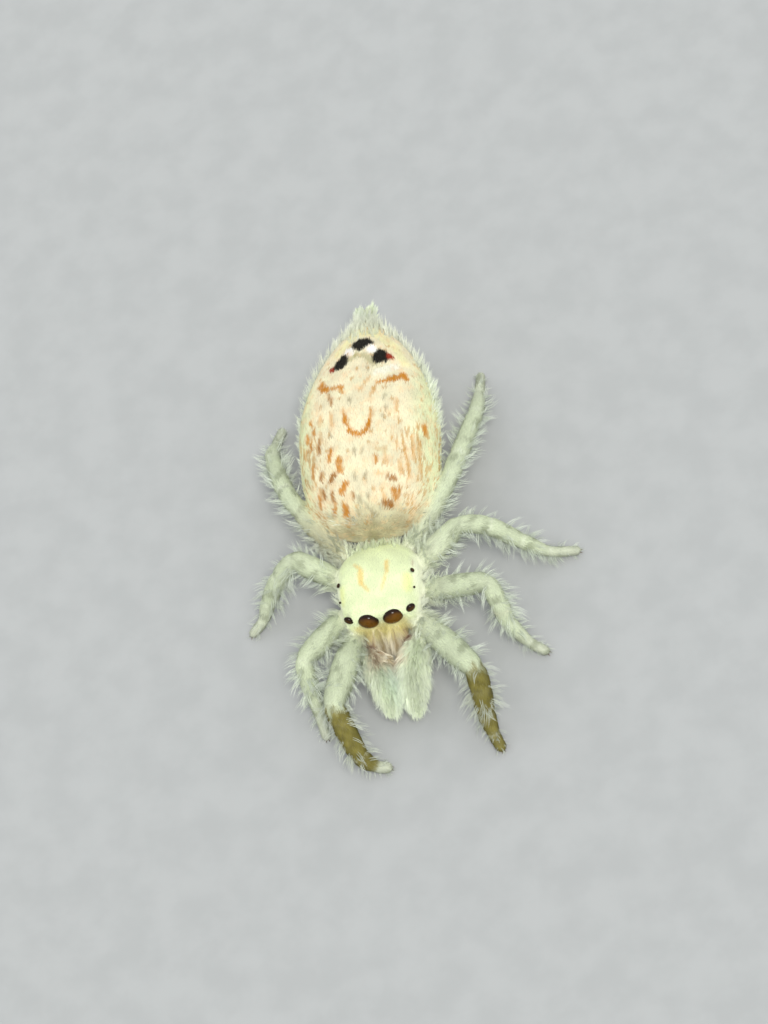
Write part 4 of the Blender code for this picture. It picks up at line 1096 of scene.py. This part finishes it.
Tuft = namedtuple("Tuft", "hairs spread length width rise end_rise gather")
TUFTS = {
    "velvet": Tuft(1, 0, 0.085, 0.018, 0.12, 0.04, 0),
    "fringe": Tuft(4, 0.018, 0.23, 0.009, 0.80, 0.30, 0.12),
    "face": Tuft(2, 0.010, 0.09, 0.010, 0.50, 0.15, 0.10),
    "beard": Tuft(4, 0.014, 0.18, 0.011, 0.42, 0.10, 0.05),
    "leg": Tuft(4, 0.022, 0.25, 0.0075, 1.05, 0.45, 0.16),
    "plume": Tuft(4, 0.022, 0.21, 0.013, 0.62, 0.12, 0.12),
}
TUFT_VARIANTS = 4
HAIR_RINGS = 2
ROOT_DEPTH = 0.012         # how far a hair's root is sunk in the skin
SCALE_THICKNESS = 0.004
SCALE_WIDEST = 0.38        # where a scale hair is widest, from root to tip
SCALE_LENGTHS = (0.85, 1.15)
HAIR_TAPER = 0.6
HAIR_LENGTHS = (0.78, 1.08)
HAIR_TURN = 0.4            # how far one hair's root, lean and rise differ from its tuft's, as angles
HAIR_LEAN = 0.06
HAIR_RISE = 0.08
HAIR_END_RISE = 0.06


def hair_form(root, yaw, rise, end_rise, length, width):
    """One closed, tapered, bent hair with three sides, growing from its root towards +X."""
    heading = Vector((math.cos(yaw), math.sin(yaw), 0))
    side = Vector((-math.sin(yaw), math.cos(yaw), 0))
    place = Vector(root)
    rings, levels = [], []
    for k in range(HAIR_RINGS):
        t = k / HAIR_RINGS
        angle = rise + (end_rise - rise) * t
        forward = heading * math.cos(angle) + Vector((0, 0, 1)) * math.sin(angle)
        above = side.cross(forward)
        half = width / 2 * (1 - t) ** HAIR_TAPER
        corners = [math.radians(a) for a in (90, 210, 330)]
        rings.append([place - above * half * math.sin(a) + side * half * math.cos(a) for a in corners])
        levels += [t] * len(corners)
        place = place + forward * length / HAIR_RINGS
    return *loft(rings, None, place), levels + [1.0]


def scale_form(length, width, thickness, rise):
    """One flat, lance-shaped scale hair of six faces."""
    tip = (length * math.cos(rise), 0, length * math.sin(rise))
    x, z = tip[0] * SCALE_WIDEST, tip[2] * SCALE_WIDEST
    verts = [(0, 0, 0), (x, width / 2, z), (x, -width / 2, z), (x, 0, z + thickness), tip]
    faces = [(0, 3, 1), (0, 2, 3), (1, 3, 4), (3, 2, 4), (0, 1, 4), (0, 4, 2)]
    return verts, faces, [0.0, SCALE_WIDEST, SCALE_WIDEST, SCALE_WIDEST, 1.0]


def clump(draw, tuft):
    """A few hairs that start side by side and lean together towards one tip."""
    forms = []
    for k in range(tuft.hairs):
        turn = 2 * math.pi * k / tuft.hairs + draw.uniform(-HAIR_TURN, HAIR_TURN)
        root = (tuft.spread * math.cos(turn), tuft.spread * math.sin(turn), -ROOT_DEPTH)
        lean = -tuft.gather * math.sin(turn) + draw.uniform(-HAIR_LEAN, HAIR_LEAN)
        length = tuft.length * draw.uniform(*HAIR_LENGTHS)
        rise = tuft.rise + draw.uniform(-HAIR_RISE, HAIR_RISE)
        end_rise = tuft.end_rise + draw.uniform(-HAIR_END_RISE, HAIR_END_RISE)
        forms.append(hair_form(root, lean, rise, end_rise, length, tuft.width))
    return forms


def tuft_mesh(name, forms):
    """Mesh of one tuft, with the share from root to tip stored at each vertex."""
    mesh = mesh_from(name, [(verts, faces) for verts, faces, _ in forms])
    levels = [level for _, _, alongs in forms for level in alongs]
    store(mesh, "tip", "FLOAT", np.array(levels))
    return mesh


def make_tufts():
    """A few variants of every kind of tuft, each kind in a collection of its own."""
    draw = random.Random(SEED)
    kinds = {}
    for kind, tuft in TUFTS.items():
        kinds[kind] = bpy.data.collections.new(f"tufts_{kind}")
        for number in range(TUFT_VARIANTS):
            if kind == "velvet":
                length = tuft.length * draw.uniform(*SCALE_LENGTHS)
                rise = draw.uniform(tuft.end_rise, tuft.rise)
                forms = [scale_form(length, tuft.width, SCALE_THICKNESS, rise)]
            else:
                forms = clump(draw, tuft)
            name = f"tuft_{kind}_{number}"
            kinds[kind].objects.link(bpy.data.objects.new(name, tuft_mesh(name, forms)))
    return kinds


COAT_INPUTS = (
    ("Grows Where", "NodeSocketString"), ("Sized By", "NodeSocketString"),
    ("Tufts", "NodeSocketCollection"), ("Per Square", "NodeSocketFloat"), ("Size", "NodeSocketFloat"),
    ("Size Spread", "NodeSocketFloat"), ("Turn Spread", "NodeSocketFloat"),
    ("Tilt Spread", "NodeSocketFloat"), ("Seed", "NodeSocketInt"), ("Finish", "NodeSocketMaterial"),
)


def add_node(tree, kind, inputs, out=0, **settings):
    """Places a node with its settings, sets or links its inputs, and gives the output asked for."""
    node = tree.nodes.new(kind)
    for name, value in settings.items():
        setattr(node, name, value)
    for key, value in inputs.items():
        if isinstance(value, bpy.types.NodeSocket):
            tree.links.new(value, node.inputs[key])
        else:
            node.inputs[key].default_value = value
    return node.outputs[out]


def maths(tree, operation, *values):
    """Math node whose inputs are numbers or sockets."""
    return add_node(tree, "ShaderNodeMath", dict(enumerate(values)), operation=operation)


def product(tree, first, *others):
    """All the numbers or sockets multiplied together."""
    for other in others:
        first = maths(tree, "MULTIPLY", first, other)
    return first


def coat_tree():
    """Geometry nodes that set tufts over the skin along the lie of the coat."""
    tree = bpy.data.node_groups.new("coat", "GeometryNodeTree")
    tree.interface.new_socket("Skin", in_out="INPUT", socket_type="NodeSocketGeometry")
    for name, kind in COAT_INPUTS:
        tree.interface.new_socket(name, in_out="INPUT", socket_type=kind)
    tree.interface.new_socket("Coat", in_out="OUTPUT", socket_type="NodeSocketGeometry")
    given = tree.nodes.new("NodeGroupInput").outputs

    def named(name, kind="FLOAT"):
        return add_node(tree, "GeometryNodeInputNamedAttribute", {"Name": name}, "Attribute", data_type=kind)

    def spread(amount, number):
        """Random number from minus to plus the amount."""
        limits = {2: maths(tree, "MULTIPLY", amount, -1.0), 3: amount}
        seed = maths(tree, "ADD", given["Seed"], number)
        return add_node(tree, "FunctionNodeRandomValue", {**limits, "Seed": seed}, 1, data_type="FLOAT")

    density = product(tree, named(given["Grows Where"]), given["Per Square"])
    points = add_node(
        tree, "GeometryNodeDistributePointsOnFaces",
        {"Mesh": given["Skin"], "Density": density, "Seed": given["Seed"]}, "Points",
        distribute_method="RANDOM",
    )
    normal = points.node.outputs["Normal"]
    for name, kind, value in (
        ("root_place", "FLOAT_VECTOR", add_node(tree, "GeometryNodeInputPosition", {})),
        ("shade", "FLOAT", spread(1.0, 1)),
        ("tuft_number", "INT", add_node(tree, "GeometryNodeInputIndex", {})),
    ):
        points = add_node(tree, "GeometryNodeStoreNamedAttribute",
                          {"Geometry": points, "Name": name, "Value": value}, data_type=kind, domain="POINT")

    facing = add_node(tree, "FunctionNodeAxesToRotation", {0: normal, 1: named("lie", "FLOAT_VECTOR")},
                      primary_axis="Z", secondary_axis="X")
    angles = add_node(tree, "ShaderNodeCombineXYZ", {
        "X": spread(given["Tilt Spread"], 2),
        "Y": spread(given["Tilt Spread"], 3),
        "Z": spread(given["Turn Spread"], 4),
    })
    turn = add_node(tree, "FunctionNodeEulerToRotation", {0: angles})
    rotation = add_node(tree, "FunctionNodeRotateRotation", {0: facing, 1: turn}, rotation_space="LOCAL")
    vary = maths(tree, "ADD", spread(given["Size Spread"], 5), 1.0)
    size = product(tree, vary, given["Size"], named(given["Sized By"]))
    kinds = add_node(tree, "GeometryNodeCollectionInfo", {
        "Collection": given["Tufts"], "Separate Children": True, "Reset Children": True})
    placed = add_node(tree, "GeometryNodeInstanceOnPoints", {
        "Points": points, "Instance": kinds, "Pick Instance": True, "Rotation": rotation, "Scale": size})
    real = add_node(tree, "GeometryNodeRealizeInstances", {0: placed})
    coat = add_node(tree, "GeometryNodeSetMaterial", {"Geometry": real, "Material": given["Finish"]})
    tree.links.new(coat, tree.nodes.new("NodeGroupOutput").inputs[0])
    return tree


def set_input(modifier, name, value):
    """Sets a modifier's named input by its socket's identifier."""
    for item in modifier.node_group.interface.items_tree:
        if item.item_type == "SOCKET" and item.in_out == "INPUT" and item.name == name:
            modifier[item.identifier] = value
            return
    raise KeyError(name)


def unwrap_places(body):
    """Place of each root on an unwrap of the skin: one strip for each part, along it and round it."""
    strips = {}
    for k, side in enumerate(("left", "right")):
        strips.update({f"leg_{side}_{number}": ((number - 1) / 4, number / 4) for number in range(1, 5)})
        strips.update({f"{part}_{side}": (k / 2, (k + 1) / 2) for part in ("palp", "jaw")})
    limits = np.array([strips.get(name, (0.0, 1.0)) for name in body["names"]])[body["nearest"]]
    low, high = limits.T
    around = (body["angle"] + math.pi) / (2 * math.pi)
    strip_place = low + (high - low) * (MAP_AROUND[0] + MAP_AROUND[1] * around)
    return np.stack([strip_place, MAP_ALONG[0] + MAP_ALONG[1] * body["share"]], axis=1)


def grow_coat(skin, tree, tufts, tubes, coat, material):
    """One coat as a plain mesh, with its colours and its texture map."""
    helper = new_object(coat.name, skin.data)
    step = helper.modifiers.new("coat", "NODES")
    step.node_group = tree
    for name, value in (
        ("Grows Where", f"grows_{coat.where}"),
        ("Sized By", "short_size" if coat.tuft == "velvet" else "long_size"),
        ("Tufts", tufts[coat.tuft]),
        ("Per Square", float(coat.per_square)),
        ("Size", float(coat.size)),
        ("Size Spread", float(coat.size_spread)),
        ("Turn Spread", float(coat.turn)),
        ("Tilt Spread", float(coat.tilt)),
        ("Seed", coat.seed),
        ("Finish", material),
    ):
        set_input(step, name, value)
    piece = plain_piece(helper, coat.name)
    colour_coat(piece.data, tubes)
    return piece


def colour_coat(mesh, tubes):
    """Gives each tuft the skin's colour at its root, and its patch of the texture map."""
    numbers = read_values(mesh.attributes["tuft_number"].data, "value", kind=np.int32)
    roots = read_values(mesh.attributes["root_place"].data, "vector", 3)
    first, inverse = np.unique(numbers, return_index=True, return_inverse=True)[1:]
    roots = roots[first].astype(float)
    body = read_body(roots, tubes)
    store(mesh, "tint", "FLOAT_COLOR", with_alpha(body_colours(roots, body, tubes))[inverse])
    corners = read_values(mesh.loops, "vertex_index", kind=np.int32)
    tips = read_values(mesh.attributes["tip"].data, "value")[corners]
    patch = np.stack([(corners % 3) / 2 - 0.5, tips - 0.5], axis=1) * TUFT_PATCH
    for layer in list(mesh.uv_layers):
        mesh.uv_layers.remove(layer)
    uvs = unwrap_places(body)[inverse][corners] + patch
    mesh.uv_layers.new(name="OFBake").data.foreach_set("uv", uvs.astype(np.float32).ravel())
    drop_fields(mesh, *SKIN_FIELDS)


def drop_fields(mesh, *names):
    """Takes stored values off a mesh: those named, and how thickly the coats grow."""
    for name in [a.name for a in mesh.attributes]:
        if name in names or name.startswith("grows_"):
            mesh.attributes.remove(mesh.attributes[name])


def keep_off_floor(mesh):
    """Bends whatever hangs below the floor's level so that it lies on the floor."""
    places = read_vertices(mesh)
    low = places[:, 2] < FLOOR_CLEAR
    places[low, 2] = FLOOR_CLEAR * np.exp((places[low, 2] - FLOOR_CLEAR) / FLOOR_SOFT)
    mesh.vertices.foreach_set("co", places.astype(np.float32).ravel())
    mesh.update()


def finish_piece(piece, slot, *replaced):
    """Moves a piece from millimetres in the spider's frame to the model's metres and files it."""
    keep_off_floor(piece.data)
    piece.data.transform(Matrix.Scale(METRES_PER_MM, 4) @ Matrix.Translation(-STANCE_CENTRE))
    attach(piece, BODY)
    if replaced:
        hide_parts(*replaced)


def smooth_piece(name, forms, material):
    """Smooth-shaded piece of closed forms."""
    mesh = mesh_from(name, forms)
    mesh.shade_smooth()
    mesh.materials.append(material)
    return new_object(name, mesh)


# Finishes

def new_group(name, inputs, outputs):
    """Empty shader node group with named sockets."""
    group = bpy.data.node_groups.new(name, "ShaderNodeTree")
    for label, kind, value in inputs:
        socket = group.interface.new_socket(label, in_out="INPUT", socket_type=f"NodeSocket{kind}")
        if value is not None:
            socket.default_value = value
    for label, kind in outputs:
        group.interface.new_socket(label, in_out="OUTPUT", socket_type=f"NodeSocket{kind}")
    return group, group.nodes.new("NodeGroupInput").outputs, group.nodes.new("NodeGroupOutput").inputs


def ramp(tree, value, low, high, to_low=0.0, to_high=1.0):
    """Smooth step from one value to another."""
    return add_node(tree, "ShaderNodeMapRange", {0: value, 1: low, 2: high, 3: to_low, 4: to_high},
                    interpolation_type="SMOOTHSTEP")


def mix_colours(tree, factor, first, second):
    """Mixes two colours given as sockets or as values."""
    first, second = ((*value, 1.0) if isinstance(value, tuple) else value for value in (first, second))
    return add_node(tree, "ShaderNodeMix", {0: factor, 6: first, 7: second}, 2, data_type="RGBA")


def noise(tree, place, scale, detail=2.0, roughness=0.5):
    """Noise value at a place."""
    return add_node(tree, "ShaderNodeTexNoise",
                    {"Vector": place, "Scale": scale, "Detail": detail, "Roughness": roughness}, "Fac")


def stretched(tree, place, scale):
    """Place with each axis scaled by its own amount."""
    return add_node(tree, "ShaderNodeVectorMath", {0: place, 1: scale}, operation="MULTIPLY")


def lit(tree, colour, level):
    """Colour scaled by a level."""
    return add_node(tree, "ShaderNodeVectorMath", {0: colour, "Scale": level}, operation="SCALE")


def mottle_group():
    """Fine pattern of the abdomen: a warm net, cool clouds, small specks and streaks along the flanks."""
    group, given, out = new_group(
        "abdomen_mottle",
        (("Colour", "Color", (0.8, 0.7, 0.5, 1.0)), ("Place", "Vector", None),
         ("Amount", "Float", 1.0)),
        (("Colour", "Color"),),
    )
    place, colour = given["Place"], given["Colour"]
    grey = add_node(group, "ShaderNodeRGBToBW", {0: colour})
    amount = product(group, given["Amount"], ramp(group, grey, *UNMARKED_GREY))
    across, along, up = add_node(group, "ShaderNodeSeparateXYZ", {0: place}).node.outputs
    net = ramp(group, noise(group, place, NET_SCALE, 3.0, 0.6), *NET_EDGE)
    cool = ramp(group, noise(group, place, CLOUD_SCALE), *CLOUD_EDGE)
    flank = ramp(group, maths(group, "ABSOLUTE", across), *STREAKS_FROM_MIDDLE)
    front = ramp(group, along, *STREAKS_ALONG)
    high = ramp(group, up, *MARKS_ABOVE)
    streaks = ramp(group, noise(group, stretched(group, place, STREAK_STRETCH), 1.0, 1.0), *STREAK_EDGE)
    cells = add_node(group, "ShaderNodeTexVoronoi", {"Vector": place, "Scale": SPECK_SCALE}, "Distance")
    specks = ramp(group, cells, *SPECK_EDGE)
    for mask, strength, tint in (
        (net, NET_STRENGTH, NET_TINT),
        (cool, NET_STRENGTH, CLOUD_TINT),
        (product(group, streaks, flank, front, high), SPECK_STRENGTH, STREAK_TINT),
        (product(group, specks, high), SPECK_STRENGTH, SPECK_TINT),
    ):
        colour = mix_colours(group, product(group, mask, amount, strength), colour, tint)
    group.links.new(colour, out["Colour"])
    return group


def fur_group():
    """Varies a colour from tuft to tuft, with painted shade towards the roots and lighter tips."""
    group, given, out = new_group(
        "fur_variation",
        (("Colour", "Color", (0.8, 0.8, 0.8, 1.0)), ("Place", "Vector", None),
         ("Shade", "Float", 0.0), ("Tip", "Float", 0.5),
         ("Shade Amount", "Float", 0.1), ("Tip Light", "Float", 0.2)),
        (("Colour", "Color"), ("Roughness", "Float")),
    )
    broad = ramp(group, noise(group, given["Place"], BROAD_SCALE, 3.0), *NOISE_MIDDLE, *BROAD_LEVELS)
    vary = maths(group, "MULTIPLY_ADD", given["Shade"], given["Shade Amount"], 1.0)
    level = product(group, vary, broad, ramp(group, given["Tip"], *ROOT_SHADE))
    grey = add_node(group, "ShaderNodeRGBToBW", {0: given["Colour"]})
    tip, pale = ramp(group, given["Tip"], *TIP_PART), ramp(group, grey, *PALE_GREY)
    light = product(group, tip, given["Tip Light"], pale)
    colour = mix_colours(group, light, lit(group, given["Colour"], level), TIP_TINT)
    group.links.new(colour, out["Colour"])
    group.links.new(ramp(group, given["Shade"], -1.0, 1.0, *FUR_ROUGHNESS), out["Roughness"])
    return group


def object_place(tree):
    """Place on the model in millimetres, from the piece's own coordinates."""
    coordinates = tree.nodes.new("ShaderNodeTexCoord").outputs["Object"]
    return stretched(tree, coordinates, (MM_PER_METRE,) * 3)


def attribute(tree, name, output):
    """Socket that reads a stored attribute."""
    node = tree.nodes.new("ShaderNodeAttribute")
    node.attribute_name = name
    return node.outputs[output]


def put_group(tree, group, **values):
    """Places a shader node group with its inputs linked or set."""
    node = tree.nodes.new("ShaderNodeGroup")
    node.node_tree = group
    for name, value in values.items():
        socket = node.inputs[name.replace("_", " ")]
        if isinstance(value, (int, float)):
            socket.default_value = value
        else:
            tree.links.new(value, socket)
    return node.outputs


def new_material(name):
    """Material with its node tree and its shader."""
    material = bpy.data.materials.new(name)
    material.use_nodes = True
    return material, material.node_tree, material.node_tree.nodes["Principled BSDF"]


def coat_material(finish, groups):
    """Fur: the skin's colour at each tuft's root, varied from tuft to tuft and paled for long hair."""
    material, tree, shader = new_material(finish.name)
    colour, place = attribute(tree, "tint", "Color"), attribute(tree, "root_place", "Vector")
    if finish.pale:
        colour = mix_colours(tree, finish.pale, colour, LONG_HAIR)
    if finish.mottled:
        colour = put_group(tree, groups["mottle"], Colour=colour, Place=place, Amount=1.0)["Colour"]
    fur = put_group(
        tree, groups["fur"], Colour=colour, Place=place, Shade=attribute(tree, "shade", "Fac"),
        Tip=attribute(tree, "tip", "Fac"), Shade_Amount=finish.shade_amount, Tip_Light=finish.tip_light,
    )
    tree.links.new(fur["Colour"], shader.inputs["Base Color"])
    tree.links.new(fur["Roughness"], shader.inputs["Roughness"])
    shader.inputs["Specular IOR Level"].default_value = FUR_SPECULAR
    shader.inputs["Sheen Weight"].default_value = FUR_SHEEN
    return material


def skin_material(groups):
    """Skin under the coat: the same colours and marks, with a fine grain along the lie."""
    material, tree, shader = new_material("skin")
    grain = attribute(tree, "grain", "Vector")
    stance = {0: object_place(tree), 1: STANCE_CENTRE}
    place = add_node(tree, "ShaderNodeVectorMath", stance, operation="ADD")
    mottled = put_group(
        tree, groups["mottle"], Colour=attribute(tree, "tint", "Color"), Place=place,
        Amount=attribute(tree, "on_abdomen", "Fac"),
    )["Colour"]
    streaks = noise(tree, stretched(tree, grain, GRAIN_STRETCH), 1.0, 3.0, 0.6)
    dark = ramp(tree, streaks, *GRAIN_SHADE)
    tree.links.new(lit(tree, mottled, dark), shader.inputs["Base Color"])
    tree.links.new(ramp(tree, streaks, *NOISE_MIDDLE, *SKIN_ROUGHNESS), shader.inputs["Roughness"])
    bump = add_node(tree, "ShaderNodeBump", {
        "Strength": GRAIN_STRENGTH, "Distance": GRAIN_HEIGHT * METRES_PER_MM, "Height": streaks})
    tree.links.new(bump, shader.inputs["Normal"])
    return material


def eye_material():
    """Dark lens with a red-brown glow, a little lighter towards the middle of the bulge."""
    material, tree, shader = new_material("eye_lens")
    place = object_place(tree)
    glow = ramp(tree, noise(tree, place, EYE_GLOW_SCALE), *NOISE_MIDDLE)
    colour = mix_colours(tree, glow, EYE_DEEP, EYE_GLOW)
    colour = mix_colours(tree, attribute(tree, "lens_rim", "Fac"), colour, EYE_RIM)
    tree.links.new(colour, shader.inputs["Base Color"])
    gloss = ramp(tree, noise(tree, place, EYE_GLOSS_SCALE), *NOISE_MIDDLE, *EYE_ROUGHNESS)
    tree.links.new(gloss, shader.inputs["Roughness"])
    shader.inputs["Specular IOR Level"].default_value = EYE_SPECULAR
    shader.inputs["Coat Weight"].default_value, shader.inputs["Coat Roughness"].default_value = EYE_VARNISH
    return material


def claw_material():
    """Dark horn, paler at the root."""
    material, tree, shader = new_material("claw_horn")
    grain = ramp(tree, noise(tree, object_place(tree), HORN_SCALE, 3.0), *NOISE_MIDDLE)
    tree.links.new(mix_colours(tree, grain, HORN_DARK, HORN_PALE), shader.inputs["Base Color"])
    tree.links.new(ramp(tree, grain, 0.0, 1.0, *HORN_ROUGHNESS), shader.inputs["Roughness"])
    return material


def floor_material():
    """Plain pale board."""
    material, tree, shader = new_material("pale_floor")
    grain = ramp(tree, noise(tree, object_place(tree), FLOOR_SCALE, 3.0), *NOISE_MIDDLE)
    tree.links.new(mix_colours(tree, grain, FLOOR_DARK, FLOOR_PALE), shader.inputs["Base Color"])
    shader.inputs["Roughness"].default_value = FLOOR_ROUGHNESS
    return material


# Eyes and claws

def build_eye(eye, side, sign, material):
    """Glossy lens set in the face, looking a little away from the head's middle."""
    frame = prosoma_frame()
    middle = Vector((sign * eye.centre.x, eye.centre.y - eye.forward, eye.centre.z))
    axis = Vector((sign * eye.look[0], *eye.look[1:])).normalized()
    turn = axis.to_track_quat("Z", "Y").to_matrix()
    dark = 0.0 if eye.name == "front_middle" else SIDE_EYE_DARKNESS
    angles = [2 * math.pi * i / LENS_SIDES for i in range(LENS_SIDES)]
    rings, rims = [], []
    for k in range(1, LENS_LEVELS):
        polar = math.pi * k / LENS_LEVELS
        wide, deep = math.sin(polar) * eye.half_width, math.cos(polar) * eye.half_depth
        places = (Vector((wide * math.cos(a), wide * math.sin(a), deep)) for a in angles)
        rings.append([frame @ (middle + turn @ place) for place in places])
        rim = dark + float(smooth_step(*LENS_RIM, np.array(polar / math.pi)))
        rims.extend([min(rim, 1.0)] * LENS_SIDES)
    start, end = (frame @ (middle + axis * deep) for deep in (eye.half_depth, -eye.half_depth))
    piece = smooth_piece(f"lens_{eye.name}_{side}", [loft(rings, start, end)], material)
    store(piece.data, "lens_rim", "FLOAT", np.array(rims + [dark, 1.0]))
    finish_piece(piece, "eye_lens", f"eye_{eye.name}_{side}")


def hook_form(root, heading, down):
    """A claw: a tapered hook that starts along its heading and curls down."""
    heading = heading.normalized()
    side = heading.cross(down).normalized()
    place = Vector(root)
    rings = []
    for k in range(CLAW_STEPS):
        t = k / CLAW_STEPS
        forward = heading * math.cos(CLAW_CURL * t) + down * math.sin(CLAW_CURL * t)
        above = side.cross(forward)
        half = CLAW_WIDTH / 2 * (1 - t) ** CLAW_TAPER
        corners = (2 * math.pi * i / CLAW_SIDES for i in range(CLAW_SIDES))
        rings.append([place + side * half * math.cos(a) + above * half * math.sin(a) for a in corners])
        place = place + forward * CLAW_LENGTH / CLAW_STEPS
    return loft(rings, None, place)


def build_claws(material):
    """Two small hooks at the end of every foot."""
    forms = []
    for leg in LEGS:
        tip = Vector(leg.tip)
        heading = tip - Vector(leg.ankle)
        heading.z = 0
        heading.normalize()
        side = heading.cross(Vector((0, 0, 1)))
        for sign in (1, -1):
            root = tip + heading * CLAW_FORWARD + side * sign * CLAW_APART + Vector((0, 0, -CLAW_DROP))
            forms.append(hook_form(root, heading + side * sign * CLAW_SPLAY, Vector((0, 0, -1))))
    finish_piece(smooth_piece("claws", forms, material), "jaw")


# Camera, floor and light

def camera_axes():
    """The camera's right, up and back directions."""
    azimuth, elevation, roll = (math.radians(a) for a in (CAMERA_AZIMUTH, CAMERA_ELEVATION, CAMERA_ROLL))
    back = Vector((math.sin(azimuth) * math.cos(elevation), -math.cos(azimuth) * math.cos(elevation),
                   math.sin(elevation)))
    level = Vector((math.cos(azimuth), math.sin(azimuth), 0))
    above = back.cross(level)
    right = math.cos(roll) * level + math.sin(roll) * above
    up = -math.sin(roll) * level + math.cos(roll) * above
    return right, up, back


def build_camera():
    """Camera at the photo's angle and framing."""
    data = bpy.data.cameras.new("camera")
    data.sensor_width = SENSOR_WIDTH
    data.lens = SENSOR_WIDTH * CAMERA_DISTANCE / (PICTURE_HEIGHT / PIXELS_PER_MM)
    data.clip_start, data.clip_end = CAMERA_CLIP
    camera = new_object("camera", data)
    right, up, back = camera_axes()
    camera.matrix_world = Matrix((right, up, back)).transposed().to_4x4()
    camera.location = (CAMERA_TARGET - STANCE_CENTRE + back * CAMERA_DISTANCE) * METRES_PER_MM
    bpy.context.scene.camera = camera


def build_stage():
    """Pale floor, one broad key light and an even pale surrounding."""
    corners = [(x * FLOOR_HALF, y * FLOOR_HALF, 0) for x, y in ((-1, -1), (1, -1), (1, 1), (-1, 1))]
    mesh = bpy.data.meshes.new("floor")
    mesh.from_pydata(corners, [], [(0, 1, 2, 3)])
    mesh.materials.append(floor_material())
    new_object("floor", mesh)
    data = bpy.data.lights.new("key", "SUN")
    data.energy = KEY_STRENGTH
    data.angle = KEY_SOFTNESS
    data.color = KEY_TINT
    new_object("key", data).rotation_euler = KEY_FROM.to_track_quat("Z", "Y").to_euler()
    world = bpy.data.worlds.new("surrounding")
    world.use_nodes = True
    background = world.node_tree.nodes["Background"].inputs
    background["Color"].default_value = (*SURROUNDING_TINT, 1.0)
    background["Strength"].default_value = SURROUNDING_STRENGTH
    bpy.context.scene.world = world
    bpy.context.scene.view_settings.view_transform = "Standard"


def build_spider(frame):
    """Skin, coats, eyes and claws, in place of the plain solids."""
    groups = {"mottle": mottle_group(), "fur": fur_group()}
    tubes = flesh_tubes()
    skin = build_skin(tubes)
    dress_skin(skin, tubes)
    materials = {name: coat_material(finish, groups) for name, finish in FINISHES.items()}
    tree, tufts = coat_tree(), make_tufts()
    for coat in COATS:
        piece = grow_coat(skin, tree, tufts, tubes, coat, materials[coat.finish])
        finish_piece(piece, FINISHES[coat.finish].slot)
    for group in tufts.values():
        for helper in list(group.objects):
            bpy.data.objects.remove(helper)
        bpy.data.collections.remove(group)
    drop_fields(skin.data, "lie", "short_size", "long_size")
    skin.data.materials.append(skin_material(groups))
    finish_piece(skin, "abdomen_fur", *(name for name in frame["nodes"] if not name.startswith("eye_")))
    lens = eye_material()
    for eye in EYES:
        for side, sign in (("left", 1), ("right", -1)):
            build_eye(eye, side, sign, lens)
    build_claws(claw_material())


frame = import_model()
build_camera()
build_stage()
build_spider(frame)
